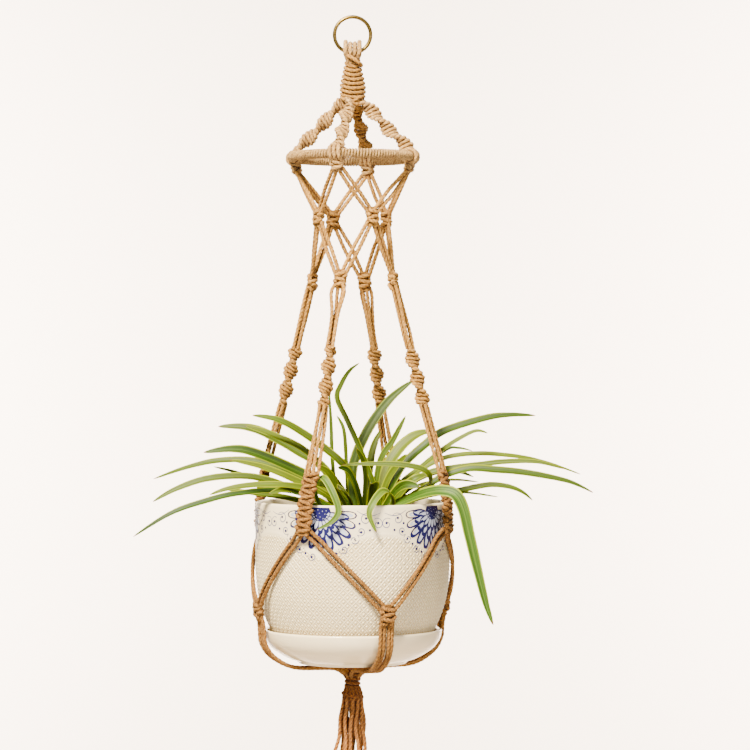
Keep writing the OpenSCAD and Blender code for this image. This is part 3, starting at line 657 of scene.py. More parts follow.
place(cords("Head_Sennit", head_paths, r=2.05, mat=JUTE), "hanger", "jute", "crown_sennit")

# ---------------------------------------------------------------- arms
HOOP_Z, HOOP_R = -139, 60.5
CORE_R, YARN_LIE = 2.0, 3.9  # the wire, and how far from its middle the wound yarn lies
# height to radius, and height to azimuth, along an arm
TOP_R = [(-134.4, 60.5), (-124, 51), (-112, 37), (-94, 21), (-80, 5)]
ARM_AZ = [(-512, RIM_AZ), (-483.5, 25.6), (-452, 23.7), (-388, 21.7), (-329, 20.3), (-262, 16),
    (-139, HEAD_AZ), (0, HEAD_AZ)]
ARM_R = [(-512, 106), (-483.5, 104), (-452, 97.2), (-388, 76.7), (-329, 60.5), (-262, 42)]
LETTERS = "abcd"


def arm_point(z, k):
    return at(look(z, ARM_AZ) + QUARTER * k, look(z, ARM_R), z)


for k, c in enumerate(LETTERS):
    az = HEAD_AZ + QUARTER * k
    z_list = [lerp(-82, -134, j / 16) for j in range(17)]
    spine = Spine([at(az, look(z, TOP_R), z) for z in z_list], side_dir(az))
    paths = spiral_knots(spine, 0.5, 16, spine.len / 16.2, 6.0, 1.8, math.radians(34), 0.5 + 0.7 * k)
    # painted shade: the back arm's twist gets the darker jute, the three front ones its paler,
    # painted-light copy
    place(cords(f"Top_Twist_{c.upper()}", paths, r=2.1, mat=JUTE if k == 2 else JUTE_LIT), "hanger",
        "jute", f"top_twist_{c}")

# the hoop: a wire core with thin yarn wound round it
place(torus("Hoop_Core", METAL, HOOP_R, CORE_R, 120, 12, Vector((0, 0, HOOP_Z))), "hanger", "hoop_wire",
    "hoop_core")
turns, steps = 132, 11
wind = []
for j in range(turns * steps + 1):
    a, b = math.tau * j / (turns * steps), math.tau * j / steps
    rr = HOOP_R + YARN_LIE * math.cos(b)
    wind.append(Vector((rr * math.cos(a), rr * math.sin(a), HOOP_Z + YARN_LIE * math.sin(b))))
place(cords("Hoop_Wrap", [wind], r=1.38, pitch=9, sides=8, gap=1.7, mat=JUTE_FINE, hair=2.2), "hanger",
    "hoop_jute", "hoop_wrap")

for k, c in enumerate(LETTERS):
    az = HEAD_AZ + QUARTER * k
    paths = []
    centre = at(az, HOOP_R, HOOP_Z)
    for lane in (-4.2, 0.3, 4.6):  # three slanting turns over the hoop
        turn = []
        for j in range(15):
            b = math.tau * (j / 14) + 2.2
            turn.append(centre + side_dir(az) * (lane + 5.0 * (j / 14 - 0.5))
                + out_dir(az) * 6.4 * math.cos(b) + Vector((0, 0, 6.4 * math.sin(b))))
        paths.append(turn)
    knot_spine = Spine([at(az, lerp(60, 56.5, j / 4), lerp(-143, -158, j / 4)) for j in range(5)],
        side_dir(az))
    paths += square_knots(knot_spine, 1.5, 2, 5.2, lambda s: 4.4, lambda s: 3.1, fill=2, lead=2)
    place(cords(f"Hoop_Hitch_{c.upper()}", paths, r=2.2, mat=JUTE_LIT), "hanger", "jute",
        f"hoop_hitch_{c}")

# ---------------------------------------------------------------- net between the hoop and the arms
ROW1_Z, ROW2_Z, ROW1_R, ROW1_AZ, ROW2_R = -200, -262, 39, 59.5, 42


def net_strand(az1, r1, z1, az2, r2, z2, s, e):
    """One of two strands that run side by side between two knots, and part a little on the way."""
    a = at(az1, r1, z1 + s * e) + side_dir(az1) * (s * 2.9 + e * 1.9)
    b = at(az2, r2, z2 + s * e) - side_dir(az2) * (s * 2.9 - e * 1.9)
    mid = (a + b) / 2 + (side_dir((az1 + az2) / 2) * 0.9 * e + Vector((0, 0,
        0.9 * s * e))) * rng.uniform(0.2, 1.6)
    mid += Vector((rng.uniform(-0.5, 0.5), rng.uniform(-0.5, 0.5), 0))
    return smooth([a, a.lerp(mid, 0.5) + Vector((0, 0, -0.2)), mid, mid.lerp(b, 0.5), b], 4)


upper, lower = [], []
for k in range(4):
    for s in (1, -1):
        for e in (1, -1):
            upper.append(net_strand(HEAD_AZ + QUARTER * k, 57, -154, ROW1_AZ + QUARTER * (k - (s < 0)),
                ROW1_R + 0.6, -195, s, e))
            lower.append(net_strand(ROW1_AZ + QUARTER * k, ROW1_R, -205, 16 + QUARTER * (k + (s > 0)),
                ROW2_R, -257, s, e))
place(cords("Upper_Net_Cords", upper, r=2.15), "hanger", "jute", "upper_net_cords")
place(cords("Lower_Net_Cords", lower, r=2.15), "hanger", "jute", "lower_net_cords")


def knot_row(az, r, z, count=3, pitch=4.9, wide=4.3, deep=3.0):
    paths = []
    half = count * pitch / 2
    for k in range(4):
        sp = Spine([at(az + QUARTER * k, r, z + half + 3 - j * (2 * half + 6) / 4) for j in range(5)],
            side_dir(az + QUARTER * k))
        w = wide * rng.uniform(0.93, 1.08)
        paths += square_knots(sp, 3, count, pitch, lambda s, w=w: w, lambda s: deep, fill=2, lead=2.4,
            flip=1 if k % 2 else -1)
    return paths


place(cords("First_Row_Knots", knot_row(ROW1_AZ, ROW1_R, ROW1_Z)), "hanger", "jute", "first_row_knots")
place(cords("Second_Row_Knots", knot_row(16, ROW2_R, ROW2_Z)), "hanger", "jute", "second_row_knots")

# ---------------------------------------------------------------- arm cords, arm twists, rim sennits
# how wide each arm's cords part, at five heights; the inner pair parts less
ARM_FLARE = ((3.8, 6.6, 3.4, 2.3, 2.8), (3.0, 3.6, 4.2, 3.0, 2.6), (3.6, 5.4, 3.2, 2.4, 2.6),
    (3.0, 3.4, 4.6, 6.4, 3.8))
INNER = 0.42
arm_runs, low_runs = [], []
for k in range(4):
    for i in (-1, 1):
        for j in (-1, 1):
            pts = []
            for t, spread, deep in zip((0, 0.14, 0.45, 0.75, 1), ARM_FLARE[k],
                    (2.2, 2.4, 2.2, 2.2, 2.2)):
                spread *= 1 if j > 0 else INNER
                z = lerp(-267, -331, t)
                a = look(z, ARM_AZ) + QUARTER * k
                wob = rng.uniform(-0.35, 0.35)
                pts.append(arm_point(z, k) + side_dir(a) * (i * spread + wob)
                    + out_dir(a) * (j * deep + wob))
            arm_runs.append(smooth(pts, 5))
    for i in (-1, 1):
        for j in (0, 1):
            pts = []
            for t in (0, 0.25, 0.5, 0.75, 1):
                z = lerp(-386, -454, t)
                a = look(z, ARM_AZ) + QUARTER * k
                sp = lerp((3.0, 2.3)[j], (6.4, 2.3)[j], t**0.8)
                dp = lerp((-2.3, 2.3)[j], (-0.9, 1.9)[j], t)
                pts.append(arm_point(z, k) + side_dir(a) * (i * sp + rng.uniform(-0.3,
                    0.3)) + out_dir(a) * dp)
            low_runs.append(smooth(pts, 5))
place(cords("Arm_Cords", arm_runs, r=1.95), "hanger", "jute", "arm_cords")
place(cords("Lower_Arm_Cords", low_runs, r=2.0), "hanger", "jute", "lower_arm_cords")

for k, c in enumerate(LETTERS):
    z_list = [lerp(-329, -388, j / 16) for j in range(17)]
    spine = Spine([arm_point(z, k) for z in z_list], side_dir(21 + QUARTER * k))
    paths = spiral_knots(spine, 0.5, 13, spine.len / 13.2, 6.1, 1.7, math.radians(41), 0.5 + 0.9 * k)
    place(cords(f"Arm_Twist_{c.upper()}", paths, r=2.15, mat=JUTE), "hanger", "jute", f"arm_twist_{c}")
    z_list = [lerp(-450, -514, j / 16) for j in range(17)]
    spine = Spine([arm_point(z, k) for z in z_list], side_dir(25.2 + QUARTER * k))
    paths = square_knots(spine, 2, 11, 5.45, lambda s: 5.6, lambda s: 2.2, fill=4, lead=2,
        flip=1 if k % 2 else -1)
    place(cords(f"Rim_Sennit_{c.upper()}", paths, r=2.15, mat=JUTE_LOW_SHADED), "hanger", "jute",
        f"rim_sennit_{c}")

# ---------------------------------------------------------------- cradle and base cords
WRAP_R, CRADLE_AZ = 100.2, 69.5


def wall_strand(az, s1, z1, s2, z2):
    pts = []
    bow = rng.uniform(-0.7, 0.7)
    for j in range(9):
        t = j / 8
        s, z = lerp(s1, s2, t) + bow * math.sin(math.pi * t), lerp(z1, z2, t)
        pts.append(at(az + s / WRAP_R * DEG, 104.2 if j == 0 else (99.4 if j == 8 else WRAP_R), z))
    return smooth(pts, 4)


left_s = (CRADLE_AZ - RIM_AZ) / DEG * WRAP_R
right_s = (RIM_AZ + QUARTER - CRADLE_AZ) / DEG * WRAP_R
cradle = []
for k in range(4):
    a = RIM_AZ + QUARTER * k
    cradle += [wall_strand(a, 6.2, -508, left_s - 1.8, -583), wall_strand(a, 1.7, -511.4, left_s - 6.0,
        -587),
        wall_strand(a, -6.2, -508, 1.8 - right_s, -583), wall_strand(a, -1.7, -511.4, 6.0 - right_s,
            -587)]
place(cords("Cradle_Cords", cradle, r=2.1, mat=JUTE_LOW_SHADED), "hanger", "jute", "cradle_cords")
for k, c in enumerate(LETTERS):
    a = CRADLE_AZ + QUARTER * k
    sp = Spine([at(a, 99.7 - 0.8 * j / 4, -578 - j * 5.5) for j in range(5)], side_dir(a))
    paths = square_knots(sp, 4, 3, 5.1, lambda s: 5.4, lambda s: 2.6, fill=2, lead=2.4)
    place(cords(f"Cradle_Knot_{c.upper()}", paths, r=2.35, mat=JUTE_LOW_SHADED), "hanger", "jute",
        f"cradle_knot_{c}")

BASE = [(98.2, -595), (95.8, -604), (94.6, -614), (93.4, -623), (86.5, -634.5), (72, -644.5),
    (58, -648.6), (38, -649.4),
    (20, -650.4), (9.5, -653.4)]
base = []
for k in range(4):
    a = CRADLE_AZ + QUARTER * k
    for o in (-3, -1, 1, 3):
        pts = []
        bow, lift = rng.uniform(-0.2, 1.5) * math.copysign(1, o), rng.uniform(0, 1.6)
        for j, (r, z) in enumerate(BASE):
            q = at(a, r, z) + side_dir(a) * (o * lerp(1.9, 1.6,
                j / 9) + bow * math.sin(math.pi * min(1, j / 6)))
            q += out_dir(a) * lift * math.sin(math.pi * min(1, j / 5))
            if j == len(BASE) - 1:
                q += Vector((0, 0, -2)) if abs(o) > 2 else out_dir(a) * -3.4 + Vector((0, 0, -1))
            pts.append(q)
        pts.append(at(a + o * 9, 5.2 if abs(o) > 2 else 2.6, -661))
        base.append(smooth(pts, 4))
place(cords("Base_Cords", base, r=2.1, mat=JUTE_LOW_SHADED), "hanger", "jute", "base_cords")

# ---------------------------------------------------------------- gather and collar
COIL_TOP, COIL_R, COIL_TURNS, COIL_PITCH, COIL_STEPS = -653.4, 6.4, 4, 4.3, 24
coil = []
for j in range(COIL_TURNS * COIL_STEPS + 5):
    a, r = math.tau * j / COIL_STEPS, COIL_R + 0.25 * math.sin(j * 0.4)
    coil.append(Vector((r * math.cos(a), r * math.sin(a), COIL_TOP - COIL_PITCH * j / COIL_STEPS)))
gather = [coil]
for k in range(9):
    a = math.tau * k / 9
    gather.append([Vector((3.9 * math.cos(a), 3.9 * math.sin(a), z)) for z in (-652, -660, -672)])
place(cords("Gather_Wrap", gather, r=2.1, mat=JUTE_SHADE), "hanger", "jute", "gather_wrap")
collar = []
for k in range(len(STRANDS)):
    a = math.tau * k / len(STRANDS)
    r = [6.0, 7.4, 8.6, 9.0, 8.4]
    collar.append(smooth([Vector((r[j] * math.cos(a + 0.06 * j), r[j] * math.sin(a + 0.06 * j),
        -669.5 - 3.3 * j)) for j in range(5)], 3))
band = []
for j in range(36):
    a = math.tau * j / 24
    band.append(Vector((9.5 * math.cos(a), 9.5 * math.sin(a), -677.6 - 2.0 * math.cos(a) - 0.03 * j)))
for k in range(7):
    a = math.tau * k / 7
    collar.append([Vector((3.6 * math.cos(a), 3.6 * math.sin(a), z)) for z in (-670, -676, -683)])
place(cords("Gather_Collar", [*collar, band], r=1.95, mat=JUTE_SHADE), "hanger", "jute",
    "gather_collar")

# ---------------------------------------------------------------- pot, saucer, root ball


def lathe(name, profile, n, mat, relief=None):
    """A closed turned shape. profile runs from the axis below, up the outside, to the axis again."""
    rows = profile[1:-1]
    verts = [Vector((0, 0, profile[0][1])) * MM]
    rel = [0.0]
    cs = [(math.cos(math.tau * i / n), math.sin(math.tau * i / n)) for i in range(n)]
    for j, (r, z) in enumerate(rows):
        for i, (c, s) in enumerate(cs):
            h, low = relief(i / n, r, z, j) if relief else (0.0, 0.0)
            verts.append(((r + h) * c * MM, (r + h) * s * MM, z * MM))
            rel.append(low)
    verts.append(Vector((0, 0, profile[-1][1])) * MM)
    rel.append(0.0)
    faces = [(0, 1 + (i + 1) % n, 1 + i) for i in range(n)]
    for j in range(len(rows) - 1):
        a, b = 1 + j * n, 1 + (j + 1) * n
        faces += [(a + i, a + (i + 1) % n, b + (i + 1) % n, b + i) for i in range(n)]
    last = 1 + (len(rows) - 1) * n
    faces += [(last + i, last + (i + 1) % n, len(verts) - 1) for i in range(n)]
    return mesh_object(name, verts, faces, mat, floats={"relief": rel})


def rounded(points, step):
    """Points along a smooth curve through a profile, at most step apart."""
    q = smooth([(p[0], 0, p[1]) for p in points], 30)
    out = [(q[0].x, q[0].z)]
    for v in q[1:]:
        if math.dist(out[-1], (v.x, v.z)) >= step:
            out.append((v.x, v.z))
    if out[-1] != (q[-1].x, q[-1].z):
        out.append((q[-1].x, q[-1].z))
    return out


POT_R = 97.2
OUTER = [(65.6, -634.2), (76.5, -620), (84.6, -606), (90.2, -592), (94.2, -577), (96.3, -560),
    (97, -545), (97.1, -520), (97.15, -508)]
pot_profile = [(0, -636.9), (50, -636.9), (63, -636.9)] + rounded(OUTER, 1.1) + [(97.2, -500),
    (97.2, -486.5)]
first_relief, last_relief = 3, len(pot_profile) - 1
pot_profile += [(97.0, -485), (96.5, -484.1), (95.6, -483.6), (94.6, -483.6), (93.6, -484.2),
    (93.1, -485.4), (92.9, -488)]
pot_profile += [(92.8, -520), (92.8, -545), (91.8, -562), (89.8, -577), (85.8, -591), (80.2, -604),
    (72.6, -616.6), (62, -629.4), (40, -629.4), (0, -629.4)]
FLOWERS = (18.2, -53.8, -125.8, 162.2, 90.2)


def flower_gap(az):
    return min(abs((az - f + 180) % 360 - 180) for f in FLOWERS)


def pot_relief(u, r, z, row):
    """Raised lattice of small diamonds, each with a bead in the middle, under a scalloped line."""
    if not (first_relief - 1 <= row <= last_relief - 1):
        return 0.0, 0.0
    az = (-90 - u * 360) % 360
    edge = -513 - 22 * (1 - math.sin(math.radians(min(flower_gap(az), 36) * 2.5)))
    fade = min(1, max(0, (edge - z) / 2.5)) * min(1, max(0, (z + 634) / 4))
    line = 0.35 * math.exp(-(((z - edge - 1.2) / 1.0) ** 2))
    if fade <= 0:
        return line, 0.0
    p, q = u * DIAMONDS + z / DIAMOND_TALL, u * DIAMONDS - z / DIAMOND_TALL
    fp, fq = p - round(p), q - round(q)
    ridge = max(math.exp(-((fp / 0.11) ** 2)), math.exp(-((fq / 0.11) ** 2)))
    bead = math.exp(-(((abs(fp) - 0.5) ** 2 + (abs(fq) - 0.5) ** 2) / 0.05))
    return line + fade * (0.65 * ridge + 1.2 * bead - 0.4), fade


place(lathe("Pot", pot_profile, 592, POT_GLAZE, pot_relief), "pot", "pot_glaze", "pot")

SAUCER_UNDER = [(0, -641.8), (30, -641.8), (48.6, -641.8), (49.6, -643), (50, -644.6), (50.8, -645),
    (54.2, -645), (55, -644.6), (56, -643.2)]
SAUCER_WALL = rounded([(56.5, -642.6), (66, -639.4), (75.5, -634), (82, -629), (86.5, -623),
    (88.8, -617), (89.5, -612.8)], 2.2)
SAUCER_IN = [(89.3, -611.9), (88.5, -611.2), (87.5, -611), (86.5, -611.2), (85.8, -612), (85.6, -613.4)]
SAUCER_IN += rounded([(85.2, -617.5), (82.9, -622.4), (78.6, -627), (72.6, -631.2), (67.5, -636.6),
    (64, -637)], 2.2) + [(30, -637), (0, -637)]
place(lathe("Saucer", SAUCER_UNDER + SAUCER_WALL + SAUCER_IN, 160, SAUCER_GLAZE), "saucer",
    "saucer_glaze", "saucer")


def crumb_group():
    """Crumbs of bark and peat scattered on the earth's upper face."""
    g, i = group("SoilCrumbs", [("Density", FLOAT, 90000.0), ("Crumb Size", FLOAT, 0.0016)])
    facing = add(g, "ShaderNodeSeparateXYZ", add(g, "GeometryNodeInputNormal"), out=2)
    up = add(g, "FunctionNodeCompare", data_type="FLOAT", operation="GREATER_THAN", A=facing, B=0.5)
    dots = add(g, SCATTER, Mesh=i["Geometry"], Selection=up, Density=i["Density"], Seed=i["Seed"])
    ico = add(g, "GeometryNodeMeshIcoSphere", Radius=i["Crumb Size"], Subdivisions=1)
    turn = add(g, RANDOM, data_type="FLOAT_VECTOR", Seed=i["Seed"], i1=(6.28, 6.28, 6.28))
    size = add(g, RANDOM, data_type="FLOAT_VECTOR", Seed=i["Seed"], i0=(0.3, 0.3, 0.2),
        i1=(1.3, 1.0, 0.7))
    crumbs = add(g, PLACE_ON, Points=dots, Instance=ico, Rotation=turn, Scale=size)
    return close_group(g, i, crumbs, i["Geometry"])


earth = [(0, -628.6), (60.5, -628.6), (70, -617), (77, -606), (82, -594), (85.6, -580), (88, -564),
    (89.6, -545), (90, -512), (88, -508), (75, -506.4), (60, -505), (40, -503.4), (20, -502), (0, -501)]
host = lathe("Root_Ball", earth, 96, SOIL)
place(through_group(host, crumb_group(), Density=110000.0, Crumb_Size=1.7 * MM, Seed=3, Material=SOIL),
    "plant", "earth", "root_ball")

# ---------------------------------------------------------------- painted flowers and swirls on the pot
FLOWER_Z = -491.5


def wall_point(az, a, b, lift):
    """a along the wall and b upwards from a flower's centre, lifted off the glaze."""
    z = FLOWER_Z + b
    return at(az + a / POT_R * DEG, POT_R + lift, z) * MM


def fan(verts, faces, ring):
    c = sum(ring, Vector()) / len(ring)
    base_i = len(verts)
    verts += [c, *ring]
    n = len(ring)
    faces += [(base_i, base_i + 1 + i, base_i + 1 + (i + 1) % n) for i in range(n)]


def petal(az, ang, r0, r1, w, lift):
    """A pointed petal from radius r0 to r1 round a flower's centre; ang 0 hangs straight down."""
    s, c = math.sin(ang), math.cos(ang)
    ring = []
    for j in range(14):
        t = j / 14 * math.tau
        along = (r0 + r1) / 2 - (r1 - r0) / 2 * math.cos(t)
        k = (along - r0) / (r1 - r0)
        across = math.copysign(w * (k**0.55) * ((1 - k) ** 0.42) * 1.75,
            math.sin(t)) if 0 < k < 1 else 0
        a, b = along * s + across * c, -along * c + across * s
        ring.append(wall_point(az, a, min(b, 6.2), lift))
    return ring


blue_v, blue_f, pale_v, pale_f = [], [], [], []
for f in FLOWERS:
    for row, (count, r0, r1, w) in enumerate(((11, 14, 37, 4.7), (10, 9, 28, 4.1), (9, 5, 19.5, 3.3))):
        for j in range(count):
            ang = math.radians(lerp(-96, 96, (j + 0.5) / count) + (4 if row == 1 else 0))
            wob = 1 + 0.04 * math.sin(7 * j + 3 * row + f)
            fan(blue_v, blue_f, petal(f, ang, r0, r1 * wob, w, 0.12 + 0.10 * row))
            fan(pale_v, pale_f, petal(f, ang, r0 + 1.4, r1 * wob - 3.9, w * 0.52, 0.17 + 0.10 * row))
    centre = [wall_point(f, 10.5 * math.cos(math.pi * (1 + j / 12)),
        2 + 9.5 * math.sin(math.pi * (1 + j / 12)), 0.42) for j in range(13)]
    centre += [wall_point(f, x, 6.0, 0.42) for x in (9, 3, -3, -9)]
    fan(blue_v, blue_f, centre)
    for j in range(20):
        a, rr = j * 2.4, 1.1 + 1.75 * math.sqrt(j)
        x, y = rr * math.cos(a), 0.5 + rr * math.sin(a)
        if y < 5 and y > 2 - 9.5 * math.sqrt(max(0, 1 - (x / 8.6) ** 2)) + 1:
            fan(pale_v, pale_f, [wall_point(f, x + 0.42 * math.cos(t), y + 0.42 * math.sin(t),
                0.47) for t in (0, 1.26, 2.51, 3.77, 5.03)])

swirl_v, swirl_f = [], []


def ribbon(points, width):
    """A thin painted line through (az, height) points on the wall."""
    n = len(points)
    b0 = len(swirl_v)
    for i, (az, z) in enumerate(points):
        az0, z0 = points[max(i - 1, 0)]
        az1, z1 = points[min(i + 1, n - 1)]
        dx, dz = (az1 - az0) / DEG * POT_R, z1 - z0
        ln = math.hypot(dx, dz) or 1
        w = width * math.sin(math.pi * min(1, max(0.12, (i + 0.6) / n))) ** 0.5
        for s in (-1, 1):
            swirl_v.append(at(az - s * dz / ln * w / 2 / POT_R * DEG, POT_R + 0.10,
                z + s * dx / ln * w / 2) * MM)
    swirl_f.extend((b0 + 2 * i, b0 + 2 * i + 1, b0 + 2 * i + 3, b0 + 2 * i + 2) for i in range(n - 1))


def dot(az, z, r):
    ring = [at(az + r * math.cos(t) / POT_R * DEG, POT_R + 0.14,
        z + r * math.sin(t)) * MM for t in (k * math.tau / 9 for k in range(9))]
    fan(blue_v, blue_f, ring)


def swirl(az, z, size, hand, start, dotted=True):
    pts = []
    for j in range(34):
        t = j / 33
        a = start + hand * t * 7.4
        r = size * (1 - 0.82 * t)
        pts.append((az + r * math.cos(a) / POT_R * DEG, z + r * math.sin(a)))
    ribbon(pts, 0.8)
    if dotted:
        dot(*pts[-1], 1.35)


for f in FLOWERS:  # each sprig fills the gap to the next flower
    for side in (-1, 1):
        for off, z, size, hand, start in ((26.5, -497, 6.6, 1, 0.6), (33.2, -501.5, 6.0, -1, 2.2),
                (23.4, -508.5, 4.6, 1, 4.0),
                (19.6, -516.5, 5.4, -1, 1.0), (13.6, -526, 5.0, 1, 3.0), (5.2, -533, 4.8, -1, 0.2)):
            swirl(f + side * off, z, size, side * hand, start if side > 0 else math.pi - start)
        ribbon([(f + side * lerp(21, 35, t),
            -488.5 - 4 * math.sin(math.pi * t) - 2 * t) for t in (k / 14 for k in range(15))], 0.7)
        for off, z in ((22.6, -501), (28.6, -507.4), (16.4, -521.5), (9.4, -530)):
            dot(f + side * off, z, 1.2)
for name, vv, ff, mat in (
    ("Painted_Petal_Lines", blue_v, blue_f, BLUE),
    ("Painted_Petals", pale_v, pale_f, PALE_PETAL),
    ("Painted_Swirls", swirl_v, swirl_f, SWIRL_BLUE),
):
    place(mesh_object(name, vv, ff, mat, smooth_shade=False), "pot", "pot_glaze")

# ---------------------------------------------------------------- leaves
# each leaf is its width, then the points it runs through from the earth to its tip
LEFT = [(6, (5, -8, -503), (-58, -28, -474), (-110, -45, -474), (-146, -52, -482), (-179, -56, -494),
    (-215, -58, -516)),
    (6, (5, 2, -503), (-58, -12, -472), (-100, -18, -459), (-142, -24, -460), (-174, -28, -470),
        (-198, -30, -483)),
    (7, (8, 6, -503), (-30, 8, -472), (-63, 10, -456), (-98, 13, -445), (-133, 15, -444),
        (-165, 16, -450), (-201, 17, -462)),
    (8, (8, -8, -503), (-22, -22, -470), (-53, -35, -453), (-94, -48, -435), (-118, -52, -430),
        (-146, -56, -433)),
    (8, (8, 12, -503), (-28, 14, -453), (-56, 16, -434), (-87, 18, -417), (-109, 20, -410),
        (-136, 22, -409)),
    (6, (5, -3, -503), (-40, -8, -440), (-80, -10, -417), (-107, -11, -408)),
    (7.5, (12, -5, -503), (1, -12, -464), (-15, -18, -442), (-47, -26, -417), (-73, -31, -402),
        (-99, -33, -397)),
    (6, (5, -12, -503), (-26, -34, -476), (-56, -48, -461), (-87, -58, -448), (-120, -66, -440)),
    (6, (2, -14, -503), (-32, -42, -474), (-63, -58, -466), (-94, -66, -465), (-120, -71, -468),
        (-139, -74, -474)),
    (5, (-10, -2, -501), (-40, -12, -487), (-67, -22, -479), (-102, -30, -474), (-128, -34, -470)),
    (3.5, (0, 16, -503), (-40, 20, -480), (-80, 24, -468), (-118, 26, -456), (-141, 27, -450))]
UPRIGHT = [(3, (-14, 6, -504), (-20, 4, -447), (-21.5, 3, -410), (-23.5, 2, -372)),
    (3, (-4, 14, -504), (-6.5, 12, -443), (-9, 10, -412), (-16, 10, -398)),
    (4.2, (30, -4, -503), (24, -12, -474), (10, -16, -436), (-5, -18, -402), (-15, -19, -380),
        (-11, -20, -366), (-3, -21, -353), (7, -22, -345)),
    (8, (4, 8, -503), (0, 14, -455), (14, 20, -416), (36, 29, -384), (61, 36, -363)),
    (5, (20, -8, -503), (27, -10, -446), (41, -12, -422), (53, -14, -398))]
RIGHT = [(9, (18, 6, -503), (35, 8, -475), (51, 12, -449), (73, 16, -429), (93, 20, -415),
    (134, 25, -402), (159, 27, -398), (185, 28, -398)),
    (5, (26, -2, -503), (46, -4, -468), (68, -6, -450), (89, -9, -433), (109, -12, -420),
        (124, -13, -413), (135, -14, -415)),
    (3, (30, 14, -500), (60, 15, -462), (93, 18, -434), (107, 19, -431), (121, 20, -434)),
    (5.5, (24, 2, -503), (40, 5, -474), (76, 8, -449), (98, 9, -440), (126, 10, -437), (151, 10, -438),
        (175, 10, -441), (200, 9, -447), (229, 8, -457)),
    (5, (28, -6, -503), (48, -5, -474), (74, -8, -456), (101, -10, -450), (126, -12, -447),
        (151, -13, -444), (184, -14, -444), (212, -15, -451)),
    (7.5, (26, -10, -503), (51, -15, -484), (76, -18, -468), (93, -20, -458), (117, -22, -451),
        (142, -24, -452), (167, -25, -454), (192, -26, -458), (217, -26, -464), (239, -26, -474)),
    (6, (24, 12, -503), (50, 18, -484), (76, 21, -478), (101, 24, -476), (126, 25, -471),
        (142, 26, -469), (159, 26, -471), (172, 26, -476), (182, 26, -484)),
    (3, (32, 0, -502), (60, -2, -484), (105, -6, -475), (146, -8, -479)),
    (3, (30, 22, -501), (60, 28, -472), (96, 33, -464), (128, 36, -466)),
    (5, (34, -14, -502), (60, -22, -478), (76, -27, -464), (72, -33, -452), (50, -36, -446),
        (20, -38, -445), (-10, -39, -446)),
    (10, (22, 16, -503), (34, 22, -456), (46, 27, -434), (62, 31, -420), (79, 35, -414)),
    (5, (30, 8, -503), (56, 12, -470), (80, 15, -457), (104, 17, -455), (122, 18, -460))]
FRONT = [(9.2, (22, -22, -502), (40, -44, -488), (57, -60, -479), (71, -71, -473), (86, -80, -470),
    (100, -86, -473), (108, -89, -487), (114, -91, -513), (122, -93, -547), (130, -95, -579),
    (137, -96, -599)),
    (5.4, (-12, -30, -503), (-30, -62, -486), (-35, -80, -465), (-28, -90, -457), (-19, -98, -470),
        (-13, -103, -488), (-20, -105, -499), (-34, -107, -506)),
    (5.8, (26, -30, -503), (38, -62, -486), (38, -80, -474), (30, -92, -470), (21, -101, -480),
        (17, -104, -492), (24, -105, -509))]
SHORT = [(7, (0, -18, -503), (-14, -42, -476), (-25, -56, -466), (-40, -66, -463)),
    (7, (4, -22, -503), (-4, -48, -478), (-12, -66, -468), (-14, -80, -468)),
    (7, (16, -24, -503), (20, -50, -474), (22, -66, -464), (19, -80, -463)),
    (8, (24, -22, -503), (40, -46, -476), (52, -60, -465), (66, -68, -466)),
    (7, (30, -16, -503), (48, -30, -474), (60, -40, -461), (72, -36, -456)),
    (6, (24, 22, -503), (40, 40, -468), (50, 52, -452), (62, 62, -450)),
    (6, (8, 24, -503), (-2, 46, -464), (-10, 58, -448), (-20, 72, -440)),
    (7, (-8, 16, -503), (-30, 30, -472), (-46, 42, -460), (-64, 52, -458)),
    (5, (10, -12, -503), (12, -24, -462), (10, -34, -442), (4, -44, -430)),
    (6, (22, -4, -503), (34, -10, -466), (44, -16, -448), (54, -24, -436)),
    (6, (-4, -8, -503), (-16, -20, -470), (-24, -28, -454), (-36, -36, -446)),
    (6, (14, 20, -503), (16, 34, -462), (20, 42, -434), (28, 48, -414)),
    (6, (-12, -6, -503), (-40, -26, -478), (-62, -40, -470), (-82, -50, -474)),
    (6, (12, -16, -503), (4, -36, -470), (-4, -46, -452), (-14, -56, -448))]
# from the foot to the tip: how wide a leaf is; and where its points stand across it
WIDTHS = [(0, 0.66), (0.1, 0.9), (0.3, 1.0), (0.55, 1.0), (0.75, 0.86), (0.88, 0.6), (0.95, 0.36),
    (1, 0.07)]
ACROSS = (-1, -0.66, -0.33, 0, 0.33, 0.66, 1)


